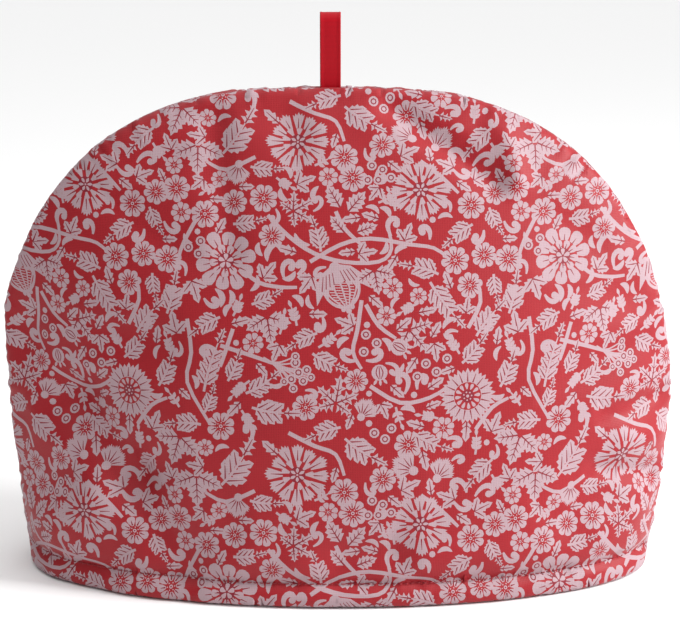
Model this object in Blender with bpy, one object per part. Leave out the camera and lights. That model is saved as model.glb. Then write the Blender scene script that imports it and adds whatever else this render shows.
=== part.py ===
"""Padded tea cosy in two panels with a ribbon hanging loop.

The cosy stands on its hem, opened into an oval.  X runs across the widest way,
Y through the two panels (the front panel is on the -Y side) and Z is up from
the surface it stands on.  All lengths are in metres.
"""
import math

import bmesh
import bpy
import numpy as np

MM = 0.001

# ---- overall form of the standing cosy -------------------------------------
SEAM_HEIGHT = 239.5 * MM        # top of the seam above the hem
HEM_DEPTH = 70.0 * MM           # hem edge to seam plane, at the middle of a panel
SEAM_GAP = 0.3 * MM             # space left between the two panels at the seam
PADDING = 6.5 * MM              # thickness of the quilted wall
EDGE_PUFF = 5.0 * MM            # how far the wadding swells forward beside the seam
SEAM_SINK = 1.3 * MM            # depth of the seam line between the two swellings
PROFILE_FALL = 1.6              # side view: upright at the hem, leaning in above
PROFILE_ROUND = 0.8             # side view: rounding at the top
OVAL_AT_HEM = 0.50              # plan view at the hem: 0.5 is a true ellipse
LENS_AT_TOP = 0.92              # plan view near the top: two shallow arcs

# outline of the seam in the X-Z plane, one row for each side
#   widest: half width;  at: height of the widest place;  hem: half width at hem
#   across, up: exponents of the arch above the widest place
OUTLINE = {
    "left": dict(widest=165.2 * MM, at=128.0 * MM, hem=155.0 * MM, across=3.1, up=1.5),
    "right": dict(widest=163.6 * MM, at=92.0 * MM, hem=154.0 * MM, across=2.8, up=1.95),
}

# ---- hem -------------------------------------------------------------------
HEM_BAND = 11.5 * MM            # hem edge up to the stitched furrow
FURROW_DEPTH = 2.2 * MM
FURROW_WIDTH = 2.6 * MM
HEM_ROUND = 1.6 * MM            # rounding of the bottom edge
BAND_SWELL = 0.9 * MM           # fullness of the turned-up hem

# ---- ribbon loop -----------------------------------------------------------
RIBBON_WIDTH = 10.0 * MM
RIBBON_THICK = 1.0 * MM
RIBBON_X = -4.6 * MM            # the loop is sewn a little left of the middle
LOOP_RISE = 36.2 * MM           # top of the loop above the top of the seam
LOOP_RADIUS = 4.3 * MM          # centre line of the turn at the top of the loop
TAIL_DEPTH = 5.0 * MM           # tails caught in the seam
TAIL_SPACE = 0.3 * MM           # between the two tails, and beside them

# ---- mesh spacing ----------------------------------------------------------
BAND_STEPS = [0.0, 1.2, 3.0, 6.0, 10.0, 16.0]                     # mm from the seam
HEM_ROWS = [0.0, 1.6, 5.0, 8.6, 11.0, 13.0, 16.5, 23.0, 33.0]     # mm up from the hem
SIDE_TOP = 178.0 * MM           # along the panel, where the side rows stop
SIDE_ROWS = 20
TOP_SIDE_STEPS = 16             # on each side of the loop

# ---- folds, placed by hand -------------------------------------------------
# Each fold runs straight between two places on the flat panel, in mm: across from
# the middle (+ right, seen from the front) and up from the hem.  Its width is to the
# side of its line.  A negative height is a trough, a positive one a ridge.
FOLD_COLUMNS = ("from_across", "from_up", "to_across", "to_up", "width", "height")
FRONT_FOLDS = {
    "left valley, upper": (-176, 138, -134, 96, 17, -4.2),
    "left valley, middle": (-134, 96, -100, 58, 12, -5.0),
    "left valley, foot": (-100, 58, -76, 20, 10, -3.6),
    "left corner swelling": (-142, 30, -124, 42, 15, 3.4),
    "hem dip": (2, 24, 24, 27, 10, -1.7),
    "shoulder trough": (26, 240, 74, 202, 7, -2.6),
    "shoulder ridge": (78, 228, 84, 202, 7, 2.2),
    "left shoulder trough": (-62, 236, -52, 168, 8, -1.6),
    "right side crease, middle": (132, 86, 172, 92, 5, -1.7),
    "right side crease, low": (128, 60, 168, 50, 5, -1.7),
    "right side swelling": (142, 72, 168, 70, 8, 1.5),
    "right corner swelling": (130, 30, 152, 36, 10, 1.6),
    "middle fullness": (-20, 120, 40, 140, 48, 1.8),
}
BACK_FOLDS = {
    "right valley, upper": (172, 128, 132, 92, 15, -3.6),
    "right valley, foot": (132, 92, 96, 40, 11, -4.2),
    "right corner swelling": (144, 34, 124, 44, 14, 2.8),
    "left side crease": (-168, 74, -128, 62, 6, -1.9),
    "left shoulder trough": (-84, 222, -46, 190, 8, -2.2),
    "right shoulder trough": (58, 236, 66, 180, 8, -1.8),
    "hem dip": (-46, 22, -24, 30, 9, -1.6),
    "middle fullness": (-30, 110, 34, 130, 46, 2.0),
}

# ---- colours of the plain stand-in materials --------------------------------
PANEL_COLOUR = (0.520, 0.045, 0.062, 1.0)
BACK_COLOUR = (0.470, 0.038, 0.055, 1.0)
RIBBON_COLOUR = (0.500, 0.004, 0.022, 1.0)

HALF_GAP = SEAM_GAP / 2.0
POCKET_DEPTH = TAIL_SPACE / 2.0 + RIBBON_THICK + TAIL_SPACE   # each side of the seam plane
POCKET_HALF = RIBBON_WIDTH / 2.0 + 0.35 * MM
POCKET_WALL = 0.8 * MM


class Skin:
    """One surface of a panel: a map from the flat cloth to the standing cosy."""

    def __init__(self, inset, sign):
        self.inset = inset
        self.sign = sign
        self.height = SEAM_HEIGHT - inset
        self.depth = HEM_DEPTH - HALF_GAP - (EDGE_PUFF if inset == 0.0 else inset)
        turn = np.linspace(0.0, 0.5 * math.pi, 500)
        z = self.height * np.sin(turn)
        step = np.hypot(np.diff(z), np.diff(self.profile(z)))
        self.z_table = z
        self.v_table = np.concatenate([[0.0], np.cumsum(step)])
        self.length = float(self.v_table[-1])

    def profile(self, z):
        part = np.clip(np.asarray(z) / self.height, 0.0, 1.0)
        return self.depth * (1.0 - part ** PROFILE_FALL) ** PROFILE_ROUND

    def side(self, x):
        return OUTLINE["left"] if x < 0 else OUTLINE["right"]

    def half_width(self, z, x):
        """Distance of the seam from the middle plane at height z, on the side of x."""
        o = self.side(x)
        if z <= o["at"]:
            swell = math.sin(0.5 * math.pi * max(z, 0.0) / o["at"])
            return o["hem"] + (o["widest"] - o["hem"]) * swell - self.inset
        part = min((z - o["at"]) / (self.height - o["at"]), 1.0)
        wide = o["widest"] - self.inset
        return wide * max(1.0 - part ** o["up"], 0.0) ** (1.0 / o["across"])

    def section(self, z, x):
        """Half of the plan section at height z: points from the middle to the seam."""
        turn = np.linspace(0.0, 0.5 * math.pi, 64)
        power = 2.0 * (OVAL_AT_HEM + (LENS_AT_TOP - OVAL_AT_HEM) * (z / self.height) ** 0.8)
        px = self.half_width(z, x) * np.sin(turn)
        py = float(self.profile(z)) * np.clip(np.cos(turn), 0.0, 1.0) ** power
        run = np.concatenate([[0.0], np.cumsum(np.hypot(np.diff(px), np.diff(py)))])
        return px, py, run

    def height_of(self, v):
        return float(np.interp(v, self.v_table, self.z_table))

    def half_girth(self, v, x):
        """Half width of the flat panel at distance v up from the hem."""
        return float(self.section(self.height_of(v), x)[2][-1])

    def place(self, u, v):
        """Point of the cloth u across and v up, standing."""
        z = self.height_of(v)
        px, py, run = self.section(z, u)
        beyond = max(abs(u) - float(run[-1]), 0.0)
        x = math.copysign(float(np.interp(abs(u), run, px)) + beyond, u)
        y = float(np.interp(abs(u), run, py)) + HALF_GAP
        return np.array([x, self.sign * y, z])

    def outward(self, x, z):
        """Direction pointing out of the outline, in the X-Z plane."""
        o = self.side(x)
        if z <= o["at"]:
            return np.array([math.copysign(1.0, x), 0.0, 0.0])
        part = (z - o["at"]) / (self.height - o["at"])
        reach = min(abs(x) / o["widest"], 1.0)
        gx = o["across"] * reach ** (o["across"] - 1.0) / o["widest"]
        gz = o["up"] * part ** (o["up"] - 1.0) / (self.height - o["at"])
        size = math.hypot(gx, gz)
        return np.array([math.copysign(gx / size, x), 0.0, gz / size])


def fold_distance(u, v, fold):
    """Distance on the flat panel to the line of a fold."""
    du = (fold["to_across"] - fold["from_across"]) * MM
    dv = (fold["to_up"] - fold["from_up"]) * MM
    away_u = u - fold["from_across"] * MM
    away_v = v - fold["from_up"] * MM
    part = min(max((away_u * du + away_v * dv) / (du * du + dv * dv), 0.0), 1.0)
    return math.hypot(away_u - part * du, away_v - part * dv)


def relief(u, v, folds):
    """Height of all the folds together at a point of the flat panel."""
    total = 0.0
    for row in folds.values():
        fold = dict(zip(FOLD_COLUMNS, row))
        reach = fold_distance(u, v, fold) / (fold["width"] * MM)
        total += fold["height"] * MM * math.exp(-reach ** 2)
    return total


def seam_waves(run, phase):
    """Unevenness of the wadding along the seam, between about 0.5 and 1.5."""
    a = math.sin(run / (9.7 * MM) + phase)
    b = math.sin(run / (5.9 * MM) + 2.1 * phase + 1.0)
    c = math.sin(run / (16.3 * MM) + 0.7 * phase)
    return 1.0 + 0.22 * a + 0.14 * b + 0.2 * c


def hem_relief(v):
    """The stitched furrow and the swelling of the cloth on both sides of it."""
    furrow = -FURROW_DEPTH * math.exp(-((v - HEM_BAND) / FURROW_WIDTH) ** 2)
    band = BAND_SWELL * math.exp(-((v - 0.45 * HEM_BAND) / (0.45 * HEM_BAND)) ** 2)
    above = 0.7 * BAND_SWELL * math.exp(-((v - 1.9 * HEM_BAND) / (0.6 * HEM_BAND)) ** 2)
    edge = 0.0
    if v < HEM_ROUND:
        edge = HEM_ROUND * (math.sqrt(1.0 - (1.0 - v / HEM_ROUND) ** 2) - 1.0)
    return furrow + band + above + edge


def flat_grid(skin):
    """Nodes of the flat panel: a band along the seam and a core inside it.

    Returns the band as columns running inward from the seam, with the run along
    the seam of each, and the core as rows going up from the hem.
    """
    low = [row * MM for row in HEM_ROWS]
    rest = np.linspace(low[-1], SIDE_TOP, SIDE_ROWS - len(low) + 2)[1:]
    side_v = low + list(rest)

    def arch(x_sign):
        """Seam of the flat panel above the side rows, as a fine polyline."""
        turn = np.linspace(0.0, 1.0, 160)
        v = SIDE_TOP + (skin.length - SIDE_TOP) * np.sin(0.5 * math.pi * turn)
        u = np.array([x_sign * skin.half_girth(value, x_sign) for value in v])
        return u, v

    def arch_nodes(x_sign, stop):
        u, v = arch(x_sign)
        keep = u * x_sign >= stop * x_sign
        u, v = u[keep], v[keep]
        tail_v = float(np.interp(stop * x_sign, (u * x_sign)[::-1], v[::-1]))
        u, v = np.append(u, stop), np.append(v, max(tail_v, v[-1]))
        run = np.concatenate([[0.0], np.cumsum(np.hypot(np.diff(u), np.diff(v)))])
        want = np.linspace(0.0, run[-1], TOP_SIDE_STEPS + 1)
        return list(zip(np.interp(want, run, u), np.interp(want, run, v)))

    outer_half = POCKET_HALF + POCKET_WALL
    left_side = [(-skin.half_girth(v, -1), v) for v in side_v]
    right_side = [(skin.half_girth(v, 1), v) for v in side_v]
    left_top = arch_nodes(-1, RIBBON_X - outer_half)[1:]
    right_top = arch_nodes(1, RIBBON_X + outer_half)[1:]
    crown = skin.length
    middle = [(RIBBON_X - POCKET_HALF, crown), (RIBBON_X, crown), (RIBBON_X + POCKET_HALF, crown)]
    seam = left_side + left_top + middle + right_top[::-1] + right_side[::-1]

    columns = []
    run = 0.0
    for i, (u, v) in enumerate(seam):
        if i:
            run += math.hypot(u - seam[i - 1][0], v - seam[i - 1][1])
        out = skin.outward(u, skin.height_of(v))
        column = [(u - d * MM * out[0], v - d * MM * out[2]) for d in BAND_STEPS]
        columns.append((run, column))

    inner = [column[-1] for _, column in columns]
    rows = len(side_v)
    top = inner[rows - 1:len(inner) - rows + 1]
    left = inner[:rows]
    right = inner[len(inner) - rows:][::-1]
    across = len(top)
    bottom = [(left[0][0] + (right[0][0] - left[0][0]) * i / (across - 1), 0.0) for i in range(across)]
    top_run = np.concatenate([[0.0], np.cumsum([math.dist(top[i], top[i + 1]) for i in range(across - 1)])])
    core = []
    for k in range(rows):
        up = side_v[k] / side_v[-1]
        line = []
        for i in range(across):
            along = (1.0 - up) * i / (across - 1) + up * top_run[i] / top_run[-1]
            point = []
            for c in (0, 1):
                value = (1 - up) * bottom[i][c] + up * top[i][c]
                value += (1 - along) * left[k][c] + along * right[k][c]
                value -= (1 - up) * ((1 - along) * left[0][c] + along * right[0][c])
                value -= up * ((1 - along) * left[-1][c] + along * right[-1][c])
                point.append(value)
            line.append(tuple(point))
        core.append(line)
    return columns, core, rows, across


def seam_field(columns):
    """Seam line of the flat panel, for measuring distances from it."""
    points = np.array([column[0] for _, column in columns])
    runs = np.array([run for run, _ in columns])

    def measure(u, v):
        a, b = points[:-1], points[1:]
        d = b - a
        part = np.clip(((u - a[:, 0]) * d[:, 0] + (v - a[:, 1]) * d[:, 1]) / (d ** 2).sum(1), 0, 1)
        gap = np.hypot(u - a[:, 0] - part * d[:, 0], v - a[:, 1] - part * d[:, 1])
        i = int(np.argmin(gap))
        return float(gap[i]), float(runs[i] + part[i] * (runs[i + 1] - runs[i]))

    return measure


def surface_normal(skin, u, v):
    """Outward normal of the smooth skin."""
    e = 1.5 * MM
    du = skin.place(u + e, v) - skin.place(u - e, v)
    dv = skin.place(u, min(v + e, skin.length)) - skin.place(u, max(v - e, 0.0))
    n = np.cross(du, dv)
    size = np.linalg.norm(n)
    if size < 1e-12:
        return np.array([0.0, skin.sign, 0.0])
    n /= size
    return n if n[1] * skin.sign > 0 else -n


def outer_point(skin, measure, u, v, folds, phase):
    """Point of the outside skin, with the swelling beside the seam, the hem and the folds."""
    gap, run = measure(u, v)
    point = skin.place(u, v)
    waves = seam_waves(run, phase)
    swell = EDGE_PUFF
    if gap < EDGE_PUFF:
        swell *= math.sqrt(max(1.0 - (1.0 - gap / EDGE_PUFF) ** 2, 0.0))
    fade = 1.0 - math.exp(-(gap / (9.0 * MM)) ** 2)
    lift = fade * (relief(u, v, folds) + hem_relief(v))
    if v < HEM_ROUND:
        swell -= 0.6 * HEM_ROUND * (1.0 - v / HEM_ROUND) * min(gap / EDGE_PUFF, 1.0)
    point[1] += skin.sign * swell
    rise = gap / (2.6 * MM)
    crest = SEAM_SINK * waves * rise * math.exp(1.0 - rise)
    point += crest * skin.outward(point[0], point[2])
    normal = surface_normal(skin, u, v)
    if v < 1e-9:
        normal[2] = 0.0
    point += lift * normal
    if v < 1e-9:
        point[2] = 0.0
    return point


def inner_point(skin, measure, u, v, folds):
    """Point of the inside skin, which follows the folds more gently."""
    gap, _ = measure(u, v)
    fade = 1.0 - math.exp(-(gap / (22.0 * MM)) ** 2)
    normal = surface_normal(skin, u, v)
    if v < 1e-9:
        normal[2] = 0.0
    return skin.place(u, v) + 0.6 * fade * relief(u, v, folds) * normal


def in_pocket(u):
    """Whether a point of the crown lies over the pocket for the ribbon's tails."""
    return abs(u - RIBBON_X) < POCKET_HALF + 0.2 * MM


def make_material(name, colour, roughness):
    material = bpy.data.materials.new(name)
    material.use_nodes = True
    shader = material.node_tree.nodes["Principled BSDF"]
    shader.inputs["Base Color"].default_value = colour
    shader.inputs["Roughness"].default_value = roughness
    material.diffuse_color = colour
    return material


def finish_mesh(name, mesh_data, material):
    """Turn the faces outward, shade the cloth smooth and add the object to the scene."""
    bmesh.ops.remove_doubles(mesh_data, verts=mesh_data.verts, dist=0.00001)
    bmesh.ops.recalc_face_normals(mesh_data, faces=mesh_data.faces)
    mesh = bpy.data.meshes.new(name)
    mesh_data.to_mesh(mesh)
    mesh_data.free()
    mesh.shade_smooth()
    mesh.set_sharp_from_angle(angle=math.radians(50.0))
    mesh.materials.append(material)
    obj = bpy.data.objects.new(name, mesh)
    bpy.context.scene.collection.objects.link(obj)
    return obj


def build_panel(name, sign, folds, phase, material):
    """One padded panel: outside skin, inside skin, rim along the seam and hem face."""
    outer = Skin(0.0, sign)
    inner = Skin(PADDING, sign)
    bm = bmesh.new()

    def skin_verts(skin, make):
        columns, core, rows, across = flat_grid(skin)
        measure = seam_field(columns)

        def vert(u, v, at_seam):
            point = make(skin, measure, u, v)
            if at_seam:
                pocket = in_pocket(u) and v > 0.9 * skin.length
                point[1] = sign * (POCKET_DEPTH if pocket else HALF_GAP)
            return bm.verts.new(point)

        band = [[vert(u, v, j == 0) for j, (u, v) in enumerate(column)] for _, column in columns]
        last = len(columns) - 1
        grid = []
        for k in range(rows):
            line = []
            for i in range(across):
                if i == 0:
                    line.append(band[k][-1])
                elif i == across - 1:
                    line.append(band[last - k][-1])
                elif k == rows - 1:
                    line.append(band[rows - 1 + i][-1])
                else:
                    line.append(vert(*core[k][i], False))
            grid.append(line)
        return band, grid

    def make_outer(skin, measure, u, v):
        return outer_point(skin, measure, u, v, folds, phase)

    def make_inner(skin, measure, u, v):
        return inner_point(skin, measure, u, v, folds)

    out_band, out_grid = skin_verts(outer, make_outer)
    in_band, in_grid = skin_verts(inner, make_inner)
    rows, across = len(out_grid), len(out_grid[0])
    for band, grid in ((out_band, out_grid), (in_band, in_grid)):
        for i in range(len(band) - 1):
            for j in range(len(BAND_STEPS) - 1):
                bm.faces.new((band[i][j], band[i + 1][j], band[i + 1][j + 1], band[i][j + 1]))
        for k in range(rows - 1):
            for i in range(across - 1):
                bm.faces.new((grid[k][i], grid[k][i + 1], grid[k + 1][i + 1], grid[k + 1][i]))
    for i in range(len(out_band) - 1):
        bm.faces.new((out_band[i][0], out_band[i + 1][0], in_band[i + 1][0], in_band[i][0]))
    hem_out = out_band[0][:-1] + out_grid[0] + out_band[-1][:-1][::-1]
    hem_in = in_band[0][:-1] + in_grid[0] + in_band[-1][:-1][::-1]
    for i in range(len(hem_out) - 1):
        bm.faces.new((hem_out[i], hem_out[i + 1], hem_in[i + 1], hem_in[i]))
    return finish_mesh(name, bm, material)


def loop_path():
    """Centre line of the ribbon in the Y-Z plane, from one tail over to the other."""
    tail_y = TAIL_SPACE / 2.0 + RIBBON_THICK / 2.0
    start = SEAM_HEIGHT - TAIL_DEPTH
    part_from = SEAM_HEIGHT + 2.0 * MM
    turn_at = SEAM_HEIGHT + LOOP_RISE - RIBBON_THICK / 2.0 - LOOP_RADIUS
    half = [(tail_y, start), (tail_y, SEAM_HEIGHT - 1.0 * MM)]
    for i in range(13):
        t = i / 12.0
        ease = t * t * (3.0 - 2.0 * t)
        half.append((tail_y + (LOOP_RADIUS - tail_y) * ease, part_from + (turn_at - part_from) * t))
    for i in range(1, 9):
        a = 0.5 * math.pi * i / 8.0
        half.append((LOOP_RADIUS * math.cos(a), turn_at + LOOP_RADIUS * math.sin(a)))
    back = [(y, z) for y, z in half]
    front = [(-y, z) for y, z in half[:-1]]
    return front + back[::-1]


def build_loop(name, material):
    """The ribbon, folded in half, with its two tails in the seam."""
    path = loop_path()
    bm = bmesh.new()
    rings = []
    half = RIBBON_WIDTH / 2.0
    for i, (y, z) in enumerate(path):
        y0, z0 = path[max(i - 1, 0)]
        y1, z1 = path[min(i + 1, len(path) - 1)]
        size = math.hypot(y1 - y0, z1 - z0)
        ny, nz = -(z1 - z0) / size, (y1 - y0) / size
        ring = []
        for across, side in ((-half, -1), (half, -1), (half, 1), (-half, 1)):
            offset = side * RIBBON_THICK / 2.0
            ring.append(bm.verts.new((RIBBON_X + across, y + offset * ny, z + offset * nz)))
        rings.append(ring)
    for a, b in zip(rings[:-1], rings[1:]):
        for c in range(4):
            bm.faces.new((a[c], a[(c + 1) % 4], b[(c + 1) % 4], b[c]))
    bm.faces.new(rings[0])
    bm.faces.new(rings[-1][::-1])
    return finish_mesh(name, bm, material)


def build():
    for obj in list(bpy.data.objects):
        bpy.data.objects.remove(obj, do_unlink=True)
    front_cloth = make_material("printed_cotton_front", PANEL_COLOUR, 0.75)
    back_cloth = make_material("printed_cotton_back", BACK_COLOUR, 0.75)
    ribbon = make_material("woven_ribbon", RIBBON_COLOUR, 0.5)
    build_panel("front_panel", -1, FRONT_FOLDS, 0.4, front_cloth)
    build_panel("back_panel", 1, BACK_FOLDS, 2.3, back_cloth)
    build_loop("hanging_loop", ribbon)


build()
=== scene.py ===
"""Padded tea cosy in flowered cotton, standing on its hem, with a ribbon loop."""

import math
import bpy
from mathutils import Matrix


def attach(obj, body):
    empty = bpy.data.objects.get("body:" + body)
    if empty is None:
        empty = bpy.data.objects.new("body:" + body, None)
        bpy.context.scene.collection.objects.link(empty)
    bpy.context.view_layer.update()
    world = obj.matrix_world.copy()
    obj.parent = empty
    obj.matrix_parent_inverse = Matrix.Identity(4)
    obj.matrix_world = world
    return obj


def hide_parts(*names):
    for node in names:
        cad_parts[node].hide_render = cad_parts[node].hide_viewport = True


bl_info = {
    "name": "Padded tea cosy",
    "version": (1, 0, 0),
    "blender": (4, 5, 0),
    "location": "View3D > Sidebar > Tea cosy",
    "description": "Sews a padded, printed tea cosy with a ribbon loop around its model",
    "category": "Object",
}

import bmesh
import bpy
import numpy as np
from mathutils import Vector, noise
from mathutils.geometry import delaunay_2d_cdt

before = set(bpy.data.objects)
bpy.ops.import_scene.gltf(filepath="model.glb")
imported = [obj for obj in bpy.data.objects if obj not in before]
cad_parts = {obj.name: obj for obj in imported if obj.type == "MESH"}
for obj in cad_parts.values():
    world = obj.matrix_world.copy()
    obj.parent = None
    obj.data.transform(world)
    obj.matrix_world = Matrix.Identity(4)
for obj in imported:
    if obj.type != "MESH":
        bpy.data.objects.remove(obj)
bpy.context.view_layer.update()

MM = 0.001

# ---- the standing cosy, in metres; the same sizes as the model ---------------
SEAM_HEIGHT = 239.5 * MM
HEM_DEPTH = 70.0 * MM        # from the seam to the fullest part of one panel
HALF_GAP = 0.15 * MM         # each panel stops this far from the middle of the seam
PADDING = 6.5 * MM           # cloth, wadding and cloth
EDGE_PUFF = 5.0 * MM
SEAM_SINK = 1.3 * MM
PROFILE_FALL = 1.6           # how the side view narrows to the top,
PROFILE_ROUND = 0.8          # and how round it does so
OVAL_AT_HEM = 0.50           # the plan is an oval at the hem
LENS_AT_TOP = 0.92           # and nearly a lens at the top
OUTLINE = {
    "left": dict(widest=165.2 * MM, at=128.0 * MM, hem=155.0 * MM, across=3.1, up=1.5),
    "right": dict(widest=163.6 * MM, at=92.0 * MM, hem=154.0 * MM, across=2.8, up=1.95),
}
HEM_BAND = 11.5 * MM
FOLD_DEPTH = 1.45            # the folds here are this much deeper than the solid model's
FURROW_DEPTH = 2.2 * MM
FURROW_WIDTH = 2.6 * MM
HEM_ROUND = 1.6 * MM
BAND_SWELL = 0.9 * MM
RIBBON_X = -4.6 * MM
LOOP_RISE = 36.2 * MM
LOOP_RADIUS = 4.3 * MM
TAIL_DEPTH = 5.0 * MM
POCKET_DEPTH = 1.45 * MM     # how far the seam steps back for the ribbon's tails

# Folds: where they start and end on the flat panel (mm across and up), how wide, and
# how high (+) or deep (-).
FOLD_COLUMNS = ("from_across", "from_up", "to_across", "to_up", "width", "height")
FRONT_FOLDS = {
    "left valley, upper": (-176, 138, -134, 96, 17, -4.2),
    "left valley, middle": (-134, 96, -100, 58, 12, -5.0),
    "left valley, foot": (-100, 58, -76, 20, 10, -3.6),
    "left corner swelling": (-142, 30, -124, 42, 15, 3.4),
    "hem dip": (2, 24, 24, 27, 10, -1.7),
    "shoulder trough": (26, 240, 74, 202, 7, -2.6),
    "shoulder ridge": (78, 228, 84, 202, 7, 2.2),
    "left shoulder trough": (-62, 236, -52, 168, 8, -1.6),
    "right side crease, middle": (132, 86, 172, 92, 5, -1.7),
    "right side crease, low": (128, 60, 168, 50, 5, -1.7),
    "right side swelling": (142, 72, 168, 70, 8, 1.5),
    "right corner swelling": (130, 30, 152, 36, 10, 1.6),
    "middle fullness": (-20, 120, 40, 140, 48, 1.8),
}
BACK_FOLDS = {
    "right valley, upper": (172, 128, 132, 92, 15, -3.6),
    "right valley, foot": (132, 92, 96, 40, 11, -4.2),
    "right corner swelling": (144, 34, 124, 44, 14, 2.8),
    "left side crease": (-168, 74, -128, 62, 6, -1.9),
    "left shoulder trough": (-84, 222, -46, 190, 8, -2.2),
    "right shoulder trough": (58, 236, 66, 180, 8, -1.8),
    "hem dip": (-46, 22, -24, 30, 9, -1.6),
    "middle fullness": (-30, 110, 34, 130, 46, 2.0),
}


class Skin:
    """A skin of a padded panel: a map from the flat cloth to the standing cosy.

    u runs across the flat cloth from its middle and v up from the hem, in metres, and
    both may be arrays.
    """

    def __init__(self, inset, sign):
        self.inset = inset
        self.sign = sign
        self.height = SEAM_HEIGHT - inset
        self.depth = HEM_DEPTH - HALF_GAP - (EDGE_PUFF if inset == 0.0 else inset)
        z = self.height * np.sin(np.linspace(0.0, 0.5 * math.pi, 500))
        step = np.hypot(np.diff(z), np.diff(self.profile(z)))
        self.z_table = z
        self.v_table = np.concatenate([[0.0], np.cumsum(step)])
        self.length = float(self.v_table[-1])

    def profile(self, z):
        part = np.clip(np.asarray(z) / self.height, 0.0, 1.0)
        return self.depth * (1.0 - part ** PROFILE_FALL) ** PROFILE_ROUND

    def half_width(self, z, x):
        """Distance of the seam from the middle at height z, on the side of x."""
        wide = np.zeros_like(z)
        for name, here in (("left", x < 0), ("right", x >= 0)):
            o = OUTLINE[name]
            swell = np.sin(0.5 * math.pi * np.clip(z, 0.0, o["at"]) / o["at"])
            low = o["hem"] + (o["widest"] - o["hem"]) * swell - self.inset
            part = np.clip((z - o["at"]) / (self.height - o["at"]), 0.0, 1.0)
            high = (o["widest"] - self.inset) * (1.0 - part ** o["up"]) ** (1.0 / o["across"])
            wide = np.where(here, np.where(z <= o["at"], low, high), wide)
        return wide

    def section(self, z, x):
        """Half plan sections at heights z, one row each, from the middle to the seam."""
        turn = np.linspace(0.0, 0.5 * math.pi, 64)
        power = 2.0 * (OVAL_AT_HEM + (LENS_AT_TOP - OVAL_AT_HEM) * (z / self.height) ** 0.8)
        px = self.half_width(z, x)[:, None] * np.sin(turn)
        py = self.profile(z)[:, None] * np.clip(np.cos(turn), 0.0, 1.0) ** power[:, None]
        step = np.hypot(np.diff(px, axis=1), np.diff(py, axis=1))
        run = np.concatenate([np.zeros((len(z), 1)), np.cumsum(step, axis=1)], axis=1)
        return px, py, run

    def height_of(self, v):
        return np.interp(v, self.v_table, self.z_table)

    def half_girth(self, v, x):
        return self.section(self.height_of(v), x)[2][:, -1]

    def place(self, u, v):
        """Where points of the flat cloth stand."""
        u, v = np.atleast_1d(u).astype(float), np.atleast_1d(v).astype(float)
        out = np.zeros((len(u), 3))
        for first in range(0, len(u), 20000):
            part = slice(first, first + 20000)
            out[part] = self._place(u[part], v[part])
        return out

    def _place(self, u, v):
        z = self.height_of(v)
        px, py, run = self.section(z, u)
        reach = np.abs(u)
        k = np.clip((run < reach[:, None]).sum(axis=1), 1, run.shape[1] - 1)
        row = np.arange(len(u))
        a, b = run[row, k - 1], run[row, k]
        t = np.clip((reach - a) / np.maximum(b - a, 1e-12), 0.0, 1.0)
        x = px[row, k - 1] + t * (px[row, k] - px[row, k - 1]) + np.maximum(reach - run[:, -1], 0.0)
        y = py[row, k - 1] + t * (py[row, k] - py[row, k - 1])
        return np.stack([np.copysign(x, u), self.sign * (y + HALF_GAP), z], axis=1)

    def outward(self, x, z):
        """Unit direction pointing out of the outline, in the X-Z plane."""
        gx, gz = np.ones_like(x), np.zeros_like(x)
        for name, here in (("left", x < 0), ("right", x >= 0)):
            o = OUTLINE[name]
            part = np.clip((z - o["at"]) / (self.height - o["at"]), 0.0, 1.0)
            reach = np.clip(np.abs(x) / o["widest"], 0.0, 1.0)
            ax = o["across"] * reach ** (o["across"] - 1.0) / o["widest"]
            az = o["up"] * part ** (o["up"] - 1.0) / (self.height - o["at"])
            arch = here & (z > o["at"])
            gx, gz = np.where(arch, ax, gx), np.where(arch, az, gz)
        size = np.maximum(np.hypot(gx, gz), 1e-9)
        return np.stack([np.copysign(gx / size, x), np.zeros_like(x), gz / size], axis=1)

    def normal(self, u, v):
        e = 1.5 * MM
        du = self.place(u + e, v) - self.place(u - e, v)
        dv = self.place(u, np.minimum(v + e, self.length)) - self.place(u, np.maximum(v - e, 0.0))
        n = np.cross(du, dv)
        size = np.linalg.norm(n, axis=1)
        n[size < 1e-13] = (0.0, self.sign, 0.0)          # a flat spot faces straight out
        n /= np.maximum(np.linalg.norm(n, axis=1), 1e-13)[:, None]
        return np.where((n[:, 1] * self.sign > 0)[:, None], n, -n)

    def seam_line(self, count=700):
        """The seam on the flat cloth, from the left hem corner over to the right one."""
        turn = np.linspace(0.0, 1.0, count // 2)
        v = self.length * (1.0 - (1.0 - turn) ** 2.4)
        left, right = np.full_like(v, -1.0), np.full_like(v, 1.0)
        left_u = -self.half_girth(v, left)
        right_u = self.half_girth(v, right)
        u = np.concatenate([left_u[:-1], [0.0], right_u[:-1][::-1]])
        return u, np.concatenate([v[:-1], [self.length], v[:-1][::-1]])


def even_steps(u, v, step):
    """The same line with points an even step apart, its ends kept."""
    run = np.concatenate([[0.0], np.cumsum(np.hypot(np.diff(u), np.diff(v)))])
    want = np.linspace(0.0, run[-1], max(int(round(run[-1] / step)), 1) + 1)
    return np.interp(want, run, u), np.interp(want, run, v)


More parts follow.
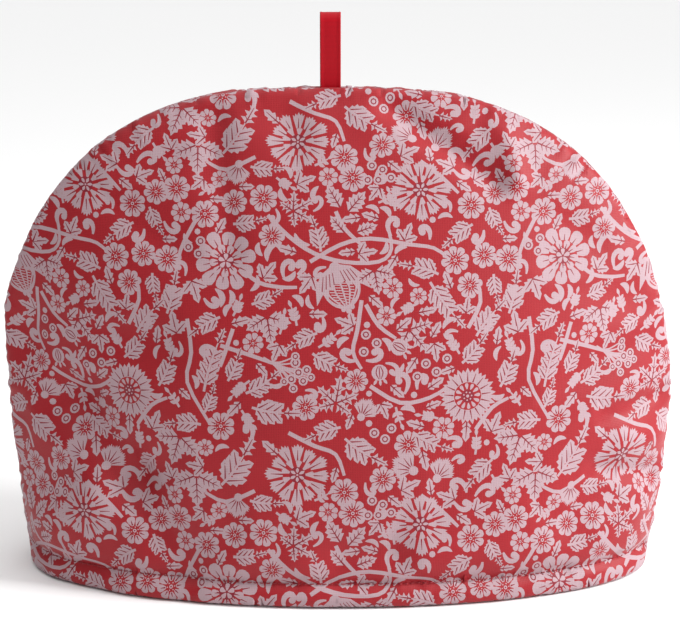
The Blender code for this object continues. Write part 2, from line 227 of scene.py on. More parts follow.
class SeamRule:
    """Measures how far a point of the flat cloth is from the seam, and where along it."""

    def __init__(self, skin):
        u, v = skin.seam_line()
        self.u, self.v = even_steps(u, v, 2.0 * MM)
        self.run = np.concatenate([[0.0], np.cumsum(np.hypot(np.diff(self.u), np.diff(self.v)))])

    def measure(self, u, v):
        gap, run = np.empty(len(u)), np.empty(len(u))
        a = np.stack([self.u[:-1], self.v[:-1]], axis=1)
        d = np.stack([np.diff(self.u), np.diff(self.v)], axis=1)
        long = (d ** 2).sum(axis=1)
        for first in range(0, len(u), 4000):
            part = slice(first, first + 4000)
            away = np.stack([u[part], v[part]], axis=1)[:, None, :] - a[None]
            t = np.clip((away * d[None]).sum(axis=2) / long, 0.0, 1.0)
            off = away - t[:, :, None] * d[None]
            far = np.hypot(off[:, :, 0], off[:, :, 1])
            k = far.argmin(axis=1)
            row = np.arange(len(k))
            gap[part] = far[row, k]
            run[part] = self.run[k] + t[row, k] * np.sqrt(long[k])
        return gap, run


def relief(u, v, folds):
    """Height of all the folds together."""
    total = np.zeros_like(u)
    for row in folds.values():
        fold = dict(zip(FOLD_COLUMNS, row))
        du = (fold["to_across"] - fold["from_across"]) * MM
        dv = (fold["to_up"] - fold["from_up"]) * MM
        away_u, away_v = u - fold["from_across"] * MM, v - fold["from_up"] * MM
        t = np.clip((away_u * du + away_v * dv) / (du * du + dv * dv), 0.0, 1.0)
        reach = np.hypot(away_u - t * du, away_v - t * dv) / (fold["width"] * MM)
        total += fold["height"] * MM * np.exp(-reach ** 2)
    return FOLD_DEPTH * total


def seam_waves(run, phase):
    """Unevenness of the wadding along the seam, between about 0.5 and 1.5."""
    return (1.0 + 0.22 * np.sin(run / (9.7 * MM) + phase)
            + 0.14 * np.sin(run / (5.9 * MM) + 2.1 * phase + 1.0)
            + 0.20 * np.sin(run / (16.3 * MM) + 0.7 * phase))


def hem_relief(v):
    """The stitched furrow and the fullness of the turned-up hem on both sides of it."""
    furrow = -FURROW_DEPTH * np.exp(-((v - HEM_BAND) / FURROW_WIDTH) ** 2)
    band = BAND_SWELL * np.exp(-((v - 0.45 * HEM_BAND) / (0.45 * HEM_BAND)) ** 2)
    above = 0.7 * BAND_SWELL * np.exp(-((v - 1.9 * HEM_BAND) / (0.6 * HEM_BAND)) ** 2)
    low = np.clip(v / HEM_ROUND, 0.0, 1.0)
    return furrow + band + above + HEM_ROUND * (np.sqrt(1.0 - (1.0 - low) ** 2) - 1.0)


def uneven(run, seed, spacing):
    """A smooth uneven wave along a seam, -1 to 1, that turns about every spacing."""
    return np.array([noise.noise(Vector((r / spacing, seed, 0.37 * seed))) for r in run])


def gathers(gap, run, seed):
    """Small tucks that the seam draws into the cloth, square to the seam."""
    line = np.arange(0.0, float(run.max()) + 0.01, 0.5 * MM)
    tuck = np.interp(run, line, uneven(line, seed, 4.6 * MM))
    reach = np.interp(run, line, 1.0 + 0.8 * uneven(line, seed + 5.0, 11.0 * MM))
    strength = np.interp(run, line, np.clip(0.75 + 1.3 * uneven(line, seed + 9.0, 34.0 * MM), 0.15, 2.0))
    fade = np.clip(gap / (1.5 * MM), 0.0, 1.0) * np.exp(-gap / (8.5 * MM * reach))
    return 1.75 * MM * tuck * strength * fade


def hem_gathers(u, v, seed):
    """Small tucks and stitch dimples along the stitched furrow of the hem."""
    line = np.arange(-0.2, 0.2, 0.5 * MM)
    tuck = np.interp(u, line, uneven(line, seed, 5.2 * MM))
    strength = np.interp(u, line, np.clip(0.8 + 1.2 * uneven(line, seed + 3.0, 30.0 * MM), 0.2, 2.0))
    near = np.exp(-((v - HEM_BAND) / (4.2 * MM)) ** 2)
    dimple = 0.22 * MM * np.cos(2.0 * math.pi * u / (2.9 * MM)) * np.exp(-((v - HEM_BAND) / (0.9 * MM)) ** 2)
    return 0.9 * MM * tuck * strength * near + dimple


# ---- the print, in mm ------------------------------------------------------------
PRINT_W = 162.0
PRINT_H = 158.0

INK, GROUND, SHADE = 1, 0, 2


def turned(points, x, y, angle, size=1.0):
    c, s = math.cos(angle) * size, math.sin(angle) * size
    return [(x + c * px - s * py, y + s * px + c * py) for px, py in points]


def curve(points, steps=5):
    """Smooth line through the given points (Catmull-Rom)."""
    pts = [points[0]] + list(points) + [points[-1]]
    out = []
    for a, b, c, d in zip(pts, pts[1:], pts[2:], pts[3:]):
        for k in range(steps):
            t = k / steps
            out.append(tuple(
                0.5 * (2 * q + (r - p) * t + (2 * p - 5 * q + 4 * r - w) * t * t
                       + (3 * q - p - 3 * r + w) * t ** 3)
                for p, q, r, w in zip(a, b, c, d)))
    out.append(tuple(points[-1]))
    return out


def stroke(points, start, end, middle=None):
    """Outline of a brush stroke along a line, with its widths at both ends and the middle."""
    middle = max(start, end) if middle is None else middle
    left, right = [], []
    n = len(points) - 1
    for i, (x, y) in enumerate(points):
        x0, y0 = points[max(i - 1, 0)]
        x1, y1 = points[min(i + 1, n)]
        size = math.hypot(x1 - x0, y1 - y0) or 1.0
        t = i / n
        bulge = 2 * (2 * middle - 0.5 * (start + end))
        wide = (start * (1 - t) ** 2 + bulge * t * (1 - t) + end * t * t) / 2
        nx, ny = -(y1 - y0) / size * wide, (x1 - x0) / size * wide
        left.append((x + nx, y + ny))
        right.append((x - nx, y - ny))
    return left + right[::-1]


def disc(x, y, radius, sides=10, turn=0.0):
    return [(x + radius * math.cos(turn + 2 * math.pi * k / sides),
             y + radius * math.sin(turn + 2 * math.pi * k / sides)) for k in range(sides)]


# Half outlines of a petal or leaf: along from its foot, and its half width there.
# mirrored to make the whole; along is 0 to 1, half width is a share of the width.
def lobe(length, width, form):
    up = [(a * length, b * width) for a, b in form]
    down = [(a * length, -b * width) for a, b in form[::-1] if b > 0.0]
    return up + down


ROUND_PETAL = [(0.0, 0.10), (0.25, 0.28), (0.55, 0.46), (0.80, 0.48), (0.94, 0.32), (1.0, 0.10),
               (0.985, 0.0)]
SMALL_PETAL = [(0.0, 0.10), (0.42, 0.40), (0.76, 0.50), (0.97, 0.26), (1.0, 0.0)]
TOOTHED_PETAL = [(0.0, 0.10), (0.35, 0.26), (0.68, 0.44), (0.90, 0.50), (0.82, 0.34), (0.98, 0.28),
                 (0.88, 0.14), (1.04, 0.0)]
POINTED_PETAL = [(0.0, 0.10), (0.3, 0.36), (0.6, 0.42), (0.85, 0.20), (1.0, 0.0)]
SLIM_LEAF = [(0.0, 0.06), (0.2, 0.34), (0.5, 0.5), (0.8, 0.30), (1.0, 0.0)]
SERRATED_LEAF = [(0.0, 0.05), (0.14, 0.30), (0.24, 0.52), (0.30, 0.36), (0.44, 0.58), (0.50, 0.38),
                 (0.64, 0.50), (0.70, 0.28), (0.84, 0.30), (0.88, 0.14), (1.04, 0.0)]
SMALL_LEAF = [(0.0, 0.05), (0.22, 0.42), (0.34, 0.28), (0.52, 0.52), (0.60, 0.30), (0.80, 0.34), (1.04, 0.0)]
CUT_LEAF = [(0.0, 0.06), (0.10, 0.20), (0.22, 0.60), (0.30, 0.24), (0.42, 0.22), (0.56, 0.56),
            (0.60, 0.20), (0.72, 0.18), (0.86, 0.36), (0.86, 0.12), (1.04, 0.0)]


class Cloth:
    """Shapes of the print, in the order they are printed: (points, tone)."""

    def __init__(self):
        self.shapes = []

    def add(self, points, tone=INK):
        self.shapes.append((points, tone))

    def petal(self, x, y, angle, length, width, form, vein=0.0, tone=INK, vein_tone=SHADE):
        self.add(turned(lobe(length, width, form), x, y, angle), tone)
        if vein:
            line = [(0.12 * length, 0.0), (0.12 * length + vein * length, 0.0)]
            self.add(turned(stroke(line, 0.75, 0.2, 0.5), x, y, angle), vein_tone)

    def ring_of(self, x, y, count, radius, turn, length, width, form, vein=0.0, jitter=0.0, tone=INK):
        for k in range(count):
            a = turn + 2 * math.pi * k / count
            grow = 1.0 + jitter * math.sin(2.4 * k + turn * 3)
            self.petal(x + radius * math.cos(a), y + radius * math.sin(a), a,
                       length * grow, width, form, vein, tone)

    def peony(self, x, y, turn=0.0, size=1.0):
        s = size
        self.ring_of(x, y, 10, 5.2 * s, turn, 9.2 * s, 6.6 * s, ROUND_PETAL, 0.5, 0.07)
        self.add(disc(x, y, 7.7 * s, 18), GROUND)
        self.ring_of(x, y, 9, 3.0 * s, turn + 0.3, 5.0 * s, 3.6 * s, ROUND_PETAL, 0.5, 0.07)
        self.add(disc(x, y, 3.9 * s, 12), SHADE)
        self.ring_of(x, y, 5, 0.6 * s, turn + 0.1, 3.0 * s, 2.2 * s, ROUND_PETAL, 0.0, 0.05)
        for k in range(8):
            a = turn + 0.7 + 2 * math.pi * k / 8
            self.add(disc(x + 4.6 * s * math.cos(a), y + 4.6 * s * math.sin(a), 0.34 * s, 5), SHADE)

    def carnation(self, x, y, turn=0.0, size=1.0, lean=0.0):
        s = size
        self.ring_of(x, y, 12, 5.0 * s, turn, 9.2 * s, 5.6 * s, TOOTHED_PETAL, 0.6, 0.12)
        self.add(disc(x, y, 6.8 * s, 16), GROUND)
        self.ring_of(x, y, 9, 3.1 * s, turn + 0.25, 4.5 * s, 3.0 * s, TOOTHED_PETAL, 0.0, 0.12)
        self.add(disc(x, y, 3.8 * s, 12), SHADE)
        cx, cy = x + lean * math.cos(turn), y + lean * math.sin(turn)
        self.ring_of(cx, cy, 6, 1.0 * s, turn, 2.6 * s, 1.7 * s, POINTED_PETAL, 0.0, 0.1)
        self.add(disc(cx, cy, 1.0 * s, 8), SHADE)
        self.add(disc(cx, cy, 0.55 * s, 6), INK)

    def sunflower(self, x, y, turn=0.0, size=1.0):
        s = size
        self.ring_of(x, y, 17, 5.6 * s, turn + 0.18, 7.0 * s, 3.6 * s, POINTED_PETAL)
        self.ring_of(x, y, 17, 5.2 * s, turn, 8.4 * s, 3.5 * s, POINTED_PETAL, 0.0, 0.06)
        for k in range(17):
            line = [(6.8 * s, 0.0), (11.2 * s, 0.0)]
            self.add(turned(stroke(line, 0.7, 0.2), x, y, turn + 2 * math.pi * k / 17), SHADE)
        self.add(disc(x, y, 6.6 * s, 18), GROUND)
        self.ring_of(x, y, 12, 3.2 * s, turn, 2.9 * s, 1.7 * s, ROUND_PETAL)
        self.add(disc(x, y, 3.1 * s, 12), SHADE)
        for k in range(7):
            a = turn + 2 * math.pi * k / 7
            self.add(disc(x + 1.9 * s * math.cos(a), y + 1.9 * s * math.sin(a), 0.42 * s, 6), INK)
        self.add(disc(x, y, 0.75 * s, 8), INK)

    def daisy(self, x, y, turn=0.0, size=1.0, petals=8):
        s = size
        vein = 0.5 if size > 0.8 else 0.0
        self.ring_of(x, y, petals, 2.2 * s, turn, 4.7 * s, 32.0 / petals * s, SMALL_PETAL, vein)
        self.add(disc(x, y, 2.5 * s, 12), GROUND)
        for k in range(6):
            a = turn + 2 * math.pi * k / 6
            self.add(disc(x + 1.75 * s * math.cos(a), y + 1.75 * s * math.sin(a), 0.36 * s, 5), INK)
        self.add(disc(x, y, 0.95 * s, 8), INK)
        self.add(disc(x, y, 0.42 * s, 6), SHADE)

    def leaf(self, x, y, angle, length, width, form=SERRATED_LEAF, veins=3):
        self.add(turned(lobe(length, width, form), x, y, angle), INK)
        rib = stroke([(0.0, 0.0), (0.86 * length, 0.0)], 0.8, 0.25)
        self.add(turned(rib, x, y, angle), SHADE)
        for k in range(veins):
            a = (0.20 + 0.20 * k) * length
            for side in (-1, 1):
                line = [(a, 0.0), (a + 0.13 * length, side * (0.30 - 0.05 * k) * width)]
                self.add(turned(stroke(line, 0.5, 0.25), x, y, angle), SHADE)

    def trefoil(self, x, y, angle, size=1.0, form=SERRATED_LEAF, spread=1.15):
        s = size
        for bend, length in ((-spread, 11.5), (0.0, 13.5), (spread, 11.5)):
            self.leaf(x + 1.2 * s * math.cos(angle + bend), y + 1.2 * s * math.sin(angle + bend),
                      angle + bend, length * s, 8.4 * s, form)

    def rosette_leaf(self, x, y, angle, size=1.0):
        """A broad cut leaf of five lobes."""
        s = size
        for bend, length, width in ((-2.0, 8.0, 6.0), (-1.0, 10.5, 6.6), (0.0, 12.5, 7.0), (1.0, 10.5, 6.6),
                                    (2.0, 8.0, 6.0)):
            self.leaf(x + 0.8 * s * math.cos(angle + bend), y + 0.8 * s * math.sin(angle + bend),
                      angle + bend, length * s, width * s, CUT_LEAF, 2)

    def stem(self, points, start=1.9, end=1.4, middle=None):
        self.add(stroke(curve(points, 3), start, end, middle), INK)

    def sprig(self, x, y, angle, length, pairs=4, size=3.6, bend=0.12):
        """A small twig with slim leaves in pairs."""
        line = []
        for k in range(5):
            t = k / 4
            line.append((t * length, bend * t * t * length))
        place = turned(line, x, y, angle)
        self.add(stroke(place, 1.1, 0.6), INK)
        for k in range(pairs):
            t = 0.28 + 0.66 * k / pairs
            px, py = turned([(t * length, bend * t * t * length)], x, y, angle)[0]
            here = angle + math.atan(2 * bend * t)
            for side in (-1, 1):
                self.add(turned(lobe(size * (1.05 - 0.3 * t), size * 0.52, SLIM_LEAF), px, py,
                                here + side * 0.85), INK)
        px, py = place[-1]
        self.add(turned(lobe(size, size * 0.5, SLIM_LEAF), px, py, angle + math.atan(2 * bend)), INK)

    def fern(self, x, y, angle, length, pairs=4, size=6.0, bend=0.0):
        """An acanthus-like spray of cut leaflets along a bent rib."""
        line = [(k / 5 * length, bend * (k / 5) ** 2 * length) for k in range(6)]
        place = turned(line, x, y, angle)
        for k in range(pairs):
            t = 0.16 + 0.74 * k / pairs
            px, py = turned([(t * length, bend * t * t * length)], x, y, angle)[0]
            here = angle + math.atan(2 * bend * t)
            for side in (-1, 1):
                self.leaf(px, py, here + side * 0.75, size * (1.15 - 0.45 * t), size * 0.62, SMALL_LEAF, 0)
        px, py = place[-1]
        self.leaf(px, py, angle + math.atan(2 * bend), size * 1.1, size * 0.66, CUT_LEAF, 1)
        self.add(stroke(place, 1.25, 0.6), INK)

    def scroll(self, x, y, angle, size, way=1, weight=1.0, curl=1.0):
        """A curling tendril that thickens to a round, rolled end."""
        steps = 11
        px, py, heading = 0.0, 0.0, 0.0
        path = [(0.0, 0.0)]
        for k in range(1, steps):
            t = k / (steps - 1)
            heading = way * curl * 4.3 * t * t
            step = size * 1.9 / steps * (1.0 - 0.45 * t)
            px += step * math.cos(heading)
            py += step * math.sin(heading)
            path.append((px, py))
        body = stroke(path, 1.0 * weight, 1.9 * weight, 2.7 * weight)
        self.add(turned(body, x, y, angle), INK)
        ex, ey = turned([path[-1]], x, y, angle)[0]
        self.add(disc(ex, ey, 1.7 * weight, 9), INK)

    def comma(self, x, y, angle, size, way=1, fat=0.34):
        """A fat crescent leaf."""
        line = [(0.0, 0.0), (0.35 * size, 0.16 * way * size), (0.7 * size, 0.12 * way * size),
                (size, -0.14 * way * size)]
        body = stroke(curve(line, 3), 0.3, 0.25, fat * size)
        self.add(turned(body, x, y, angle), INK)

    def berry(self, x, y, radius=1.9, ring=True):
        self.add(disc(x, y, radius, 10), INK)
        if ring:
            self.add(disc(x, y, radius * 0.62, 8), SHADE)
            self.add(disc(x, y, radius * 0.40, 6), INK)
        else:
            self.add(disc(x + 0.15 * radius, y + 0.15 * radius, radius * 0.38, 6), SHADE)

    def berry_spray(self, x, y, angle, size=1.0):
        """A branching twig of ringed berries."""
        rows = ((13.0, 5.5), (16.5, 2.0), (15.0, -2.6), (19.5, 5.0), (20.5, -0.6), (18.0, -6.2),
                (11.5, 8.2), (23.0, 2.8), (12.5, -5.4))
        for px, py in rows:
            bend = [(2.0, 0.0), (0.55 * px, 0.25 * py), (px, py)]
            self.add(turned(stroke(curve(bend, 3), 0.9, 0.6), x, y, angle, size), INK)
        for k, (px, py) in enumerate(rows):
            bx, by = turned([(px, py)], x, y, angle, size)[0]
            self.berry(bx, by, (2.6 - 0.07 * k) * size)
        self.add(turned(stroke([(-2.0, 0.0), (3.0, 0.0)], 1.3, 1.0), x, y, angle, size), INK)

    def bud(self, x, y, angle, size=1.0):
        """The large striped bud under its leafy cap; it opens away from the stalk."""
        def put(points, tone):
            self.add(turned(points, x, y, angle, size), tone)
        body = curve([(2.0, -7.0), (7.0, -9.6), (13.0, -9.0), (18.0, -5.6), (20.5, 0.0), (18.0, 5.6),
                      (13.0, 9.0), (7.0, 9.6), (2.0, 7.0), (2.0, -7.0)], 3)
        put(body[:-1], INK)
        inner = [(2.2 + (px - 2.2) * 0.90, py * 0.88) for px, py in body[:-1]]
        put(inner, GROUND)
        for rib in (-6.4, -3.1, 0.2, 3.4, 6.6):
            line = curve([(4.0, rib * 0.95), (11.0, rib * 1.12), (19.2, rib * 0.28)], 5)
            put(stroke(line, 0.9, 0.7), INK)
        for row in range(9):
            a = 5.5 + 1.45 * row
            for rib in (-5.0, -1.6, 1.8, 5.0):
                shrink = 1.0 - 0.045 * max(row - 3, 0) ** 1.25
                line = [(a, (rib - 1.3) * shrink), (a + 0.9, (rib + 1.3) * shrink)]
                put(stroke(line, 0.55, 0.55), INK)
        for side in (-1, 1):
            cap = [(-3.0, side * 1.5), (0.0, side * 8.0), (6.0, side * 12.6), (14.5, side * 14.6),
                   (10.0, side * 10.0), (12.5, side * 7.6), (8.6, side * 6.2), (9.6, side * 3.6),
                   (6.4, side * 2.6), (7.4, 0.0), (2.0, side * -0.4)]
            put(cap, INK)
            for k in range(4):
                line = [(0.6 + 0.2 * k, side * (2.0 + 1.7 * k)), (6.8 + 0.5 * k, side * (3.0 + 2.3 * k))]
                put(stroke(line, 0.35, 0.5, 0.7), SHADE)
        put(disc(-1.5, 0.0, 3.0, 10), INK)
        put(disc(21.6, 0.0, 1.5, 8), INK)
        for side in (-1, 1):
            put(disc(20.2, side * 2.3, 1.3, 8), INK)

    def pod(self, x, y, angle, size=1.0):
        """A small round seed pod with a crown of tips."""
        def put(points, tone):
            self.add(turned(points, x, y, angle, size), tone)
        put([(px + 4.2, py) for px, py in disc(0, 0, 4.2, 14)], INK)
        for bend in (-1.8, 0.0, 1.8):
            line = curve([(0.8, bend * 0.3), (4.2, bend), (7.6, bend * 0.3)], 3)
            put(stroke(line, 0.25, 0.25, 0.55), SHADE)
        for bend in (-0.6, 0.0, 0.6):
            px, py = 7.8 * math.cos(bend * 0.35), 7.8 * math.sin(bend * 0.35)
            put(turned(lobe(3.4, 1.6, SLIM_LEAF), px, py, bend), INK)

    def tulip(self, x, y, angle, size=1.0):
        """A half open flower seen from the side."""
        for bend, length, width in ((-0.85, 9.0, 4.2), (0.85, 9.0, 4.2), (-0.42, 10.5, 4.6),
                                    (0.42, 10.5, 4.6), (0.0, 11.5, 4.6)):
            self.petal(x, y, angle + bend, length * size, width * size, TOOTHED_PETAL, 0.6)
        self.add(turned([(px - 0.6, py) for px, py in disc(0, 0, 2.4, 9)], x, y, angle, size), INK)


def ink_map(c):
    """True where one repeat is printed, on a 1 mm grid."""
    px, py = np.meshgrid(np.arange(PRINT_W) + 0.5, np.arange(PRINT_H) + 0.5)
    px, py = px.ravel(), py.ravel()
    inked = np.zeros(px.shape, dtype=bool)
    for points, tone in c.shapes:
        if tone == INK:
            shape = np.array(points)
            for i in (-1, 0, 1):
                for j in (-1, 0, 1):
                    moved = shape + (i * PRINT_W, j * PRINT_H)
                    low, high = moved.min(axis=0) - 0.7, moved.max(axis=0) + 0.7
                    near = np.where((px > low[0]) & (px < high[0]) & (py > low[1]) & (py < high[1]))[0]
                    if len(near):
                        inked[near[wraps(moved, px[near], py[near])]] = True
    return inked.reshape(int(PRINT_H), int(PRINT_W))


def fill_gaps(c):
    """Leaves, curls and berries in the open places, from the largest place down."""
    inked = ink_map(c)
    free = np.where(inked, 0.0, 30.0)
    for _ in range(24):
        for dy, dx, step in ((0, 1, 1.0), (1, 0, 1.0), (1, 1, 1.414), (1, -1, 1.414)):
            for way in (-1, 1):
                free = np.minimum(free, np.roll(free, (way * dy, way * dx), (0, 1)) + step)
    rows, cols = np.mgrid[0:int(PRINT_H), 0:int(PRINT_W)] + 0.5
    for k in range(400):
        spot = int(free.argmax())
        j, i = divmod(spot, free.shape[1])
        room = free[j, i]
        if room < 2.75:
            break
        x, y = i + 0.5, j + 0.5
        # the motif lies along the open place, or leans its own way where all sides are alike
        best, angle = -1.0, 0.0
        for turn in range(12):
            a = math.pi * turn / 12.0 + 0.4 * math.sin(3.1 * k)
            total = 0.0
            for reach in (-1.3, 1.3):
                rx = int(x + reach * room * math.cos(a)) % free.shape[1]
                ry = int(y + reach * room * math.sin(a)) % free.shape[0]
                total += free[ry, rx]
            if total > best:
                best, angle = total, a
        if math.sin(7.7 * k) > 0.0:
            angle += math.pi
        cosine, sine = math.cos(angle), math.sin(angle)
        size = 1.0
        if room > 6.0:
            size = 1.2
            c.fern(x - room * cosine, y - room * sine, angle, 1.5 * room, 3, 0.78 * room, 0.15)
        elif room > 4.4:
            if k % 3 == 0:
                c.daisy(x, y, 0.37 * k, 0.135 * room)
            else:
                size = 1.15
                for bend in (-0.95, 0.0, 0.95):
                    c.leaf(x - 0.75 * room * cosine, y - 0.75 * room * sine, angle + bend,
                           (1.75 if bend == 0.0 else 1.25) * room, 0.9 * room, SMALL_LEAF, 0)
        elif room > 3.2:
            size = 1.2
            if k % 4 == 0:
                c.scroll(x - 0.8 * room * cosine, y - 0.8 * room * sine, angle, 2.1 * room,
                         1 if k % 8 else -1, 0.8)
            else:
                c.leaf(x - 1.05 * room * cosine, y - 1.05 * room * sine, angle, 2.2 * room, 1.25 * room,
                       SMALL_LEAF, 1)
        elif room > 2.5:
            size = 1.15
            if k % 3 == 0:
                c.add(disc(x, y, 0.52 * room, 8), INK)
            else:
                c.comma(x - 1.1 * room * cosine, y - 1.1 * room * sine, angle, 2.3 * room,
                        1 if k % 2 else -1, 0.42)
        else:
            size = 1.1
            c.petal(x - 0.95 * room * cosine, y - 0.95 * room * sine, angle,
                    1.9 * room, 0.9 * room, SLIM_LEAF)
        dx = np.abs(cols - x)
        dy = np.abs(rows - y)
        away = np.hypot(np.minimum(dx, PRINT_W - dx), np.minimum(dy, PRINT_H - dy))
        free = np.minimum(free, np.maximum(away - 0.95 * size * room, 0.0))


def draw_repeat(c):
    """One repeat of the print; x across and y up, in mm."""
    R = math.radians

    # trailing stems first, so flowers and leaves print over them
    c.stem([(22, 118), (16, 108), (10, 96), (8, 84)])
    c.stem([(52, 114), (62, 104), (74, 96), (88, 92), (104, 92), (110, 98), (108, 110)])
    c.stem([(72, 92), (86, 100), (100, 103), (118, 100), (130, 98), (138, 92)])
    c.stem([(40, 88), (48, 82), (58, 80), (66, 80)])
    c.stem([(96, 74), (94, 60), (92, 50), (96, 42)])
    c.stem([(98, 72), (104, 62), (112, 56)])
    c.stem([(30, 52), (44, 48), (56, 44)])
    c.stem([(36, 60), (32, 48), (30, 42)])
    c.stem([(100, 34), (114, 26), (128, 28), (138, 34)])
    c.stem([(14, 64), (16, 48), (14, 34), (24, 16)])
    c.stem([(62, 12), (74, 6), (84, 2), (88, -8)])
    c.stem([(124, 140), (134, 132), (142, 124)])
    c.stem([(46, 142), (32, 136), (22, 140)])
    c.stem([(146, 60), (152, 72), (150, 84)])
    c.stem([(150, 12), (158, 22), (166, 26)])
    c.stem([(84, 116), (88, 108), (96, 100)])

    # large flowers
    c.peony(32, 92, 0.2, 1.0)
    c.carnation(66, 150, 0.5, 1.02)
    c.carnation(124, 126, 1.1, 1.0)
    c.sunflower(146, 28, 0.1, 1.0)
    c.bud(84, 88, R(-72), 0.92)

    # small flowers
    for x, y, t in ((8, 126, 0.1), (22, 114, 0.5), (36, 120, 0.9), (50, 122, 0.3), (54, 104, 0.7),
                    (140, 92, 0.2), (154, 94, 0.6), (147, 80, 1.0), (148, 118, 0.4), (160, 124, 0.9),
                    (88, 142, 0.5), (92, 132, 0.1), (70, 24, 0.6), (4, 92, 0.2), (118, 6, 0.1),
                    (106, 148, 0.7), (30, 14, 0.4)):
        c.daisy(x, y, t, 0.98 if t < 0.6 else 0.9)

    # half open flowers
    c.tulip(120, 152, R(150), 0.95)
    c.tulip(132, 148, R(60), 0.9)
    c.tulip(38, 138, R(-100), 0.85)
    c.tulip(96, 20, R(60), 0.8)

    # leaves
    c.trefoil(18, 148, R(-90), 1.05)
    c.trefoil(52, 66, R(-80), 0.9)
    c.trefoil(102, 88, R(-80), 0.78)
    c.rosette_leaf(84, 26, R(80), 1.0)
    c.rosette_leaf(64, 116, R(30), 0.85)
    c.trefoil(10, 8, R(-110), 1.0)
    c.trefoil(118, 60, R(-50), 0.9, CUT_LEAF)
    c.fern(128, 82, R(-60), 20, 4, 7.0, 0.1)
    c.fern(22, 30, R(80), 24, 4, 7.0, -0.12)
    c.fern(4, 66, R(70), 14, 3, 7.0, 0.1)
    c.fern(42, 30, R(20), 14, 3, 6.0, 0.2)
    c.fern(150, 56, R(60), 15, 3, 7.0, -0.15)
    c.fern(120, 12, R(-40), 15, 3, 6.0, 0.2)
    c.leaf(86, 118, R(120), 12, 7.5)
    c.leaf(90, 116, R(50), 12, 7.5)
    c.leaf(88, 106, R(130), 10, 6.0)
    c.leaf(94, 106, R(20), 10, 6.0)

    # scrolls and crescents
    for x, y, a, size, way in ((146, 140, 100, 11, 1), (150, 138, 60, 12, -1), (140, 136, -60, 10, 1),
                               (110, 104, 120, 11, -1), (128, 102, 80, 9, 1), (60, 84, 110, 11, -1),
                               (66, 86, 30, 8, 1), (94, 46, 190, 10, -1), (98, 46, -10, 10, 1),
                               (116, 30, 60, 12, 1), (122, 32, 100, 9, -1), (28, 50, 150, 9, 1),
                               (22, 74, -60, 9, 1), (12, 76, 210, 9, -1), (2, 110, -70, 10, 1),
                               (154, 106, -90, 9, -1), (44, 8, 60, 9, 1), (136, 8, 20, 9, -1),
                               (104, 136, -110, 8, 1), (78, 66, -70, 8, -1)):
        c.scroll(x, y, R(a), size, way)
    for x, y, a, size, way in ((72, 100, 150, 9, 1), (118, 84, -40, 6, -1), (74, 70, 120, 7, 1),
                               (44, 78, 60, 8, -1), (156, 66, -100, 8, 1), (110, 40, 30, 7, -1),
                               (60, 36, 200, 7, 1), (16, 100, 140, 6, 1), (98, 118, -20, 7, 1),
                               (76, 128, 250, 8, -1), (134, 60, 40, 8, 1), (34, 4, 190, 7, -1),
                               (160, 44, 80, 7, 1), (132, 112, 10, 7, 1), (110, 70, 60, 6, 1),
                               (52, 92, 70, 9, 1), (30, 70, 100, 9, -1)):
        c.comma(x, y, R(a), size, way)

    # berries, pods and twigs
    c.berry_spray(52, 46, R(-28), 0.95)
    for x, y in ((101, 138), (106, 136), (104, 131), (110, 132), (99, 131), (20, 101), (14, 98), (19, 95),
                 (98, 58), (103, 54), (97, 50), (126, 44), (131, 40), (122, 38), (136, 46),
                 (102, 12), (107, 9), (110, 14)):
        c.berry(x, y, 2.4)
    c.pod(110, 54, R(-30), 0.95)
    c.pod(104, 44, R(-85), 0.9)
    for x, y, a, length, pairs in ((58, 58, 70, 9, 3), (76, 52, 30, 10, 3), (66, 62, 100, 9, 3),
                                   (36, 66, 60, 8, 3), (44, 36, 215, 11, 4), (112, 116, 100, 9, 3),
                                   (104, 120, 20, 8, 2),
                                   (122, 72, 200, 8, 3), (142, 48, 120, 9, 3), (150, 0, 80, 9, 3),
                                   (74, 138, 20, 7, 2), (28, 128, 200, 7, 2), (132, 18, 160, 8, 3),
                                   (112, 24, -80, 8, 2), (6, 46, 100, 9, 3), (40, 22, -60, 8, 3),
                                   (56, 132, -40, 8, 3), (10, 22, 120, 8, 2), (158, 148, -60, 8, 3)):
        c.sprig(x, y, R(a), length, pairs)

    fill_gaps(c)


# ---- cutting the flat cloth by colour ----------------------------------------------
CELL = 20.0
GRID = 5.0


def clipped(points, axis, limit, keep_above):
    """The part of a polygon on one side of a line of the cutting grid."""
    out = []
    last = points[-1]
    last_in = (last[axis] >= limit) == keep_above or last[axis] == limit
    for point in points:
        now_in = (point[axis] >= limit) == keep_above or point[axis] == limit
        if now_in != last_in:
            # always worked out from the lower end, so both neighbours get the same point
            a, b = (point, last) if point[axis] < last[axis] else (last, point)
            t = (limit - a[axis]) / (b[axis] - a[axis])
            other = a[1 - axis] + t * (b[1 - axis] - a[1 - axis])
            out.append((limit, other) if axis == 0 else (other, limit))
        if now_in:
            out.append(point)
        last, last_in = point, now_in
    return out


def wraps(points, px, py):
    """True for each of many points that a closed line goes round."""
    x, y = points[:, 0], points[:, 1]
    x1, y1 = np.roll(x, -1), np.roll(y, -1)
    side = (x1 - x) * (py[:, None] - y) - (px[:, None] - x) * (y1 - y)
    up = (y <= py[:, None]) & (y1 > py[:, None]) & (side > 0)
    down = (y > py[:, None]) & (y1 <= py[:, None]) & (side < 0)
    return (up.sum(axis=1) - down.sum(axis=1)) != 0


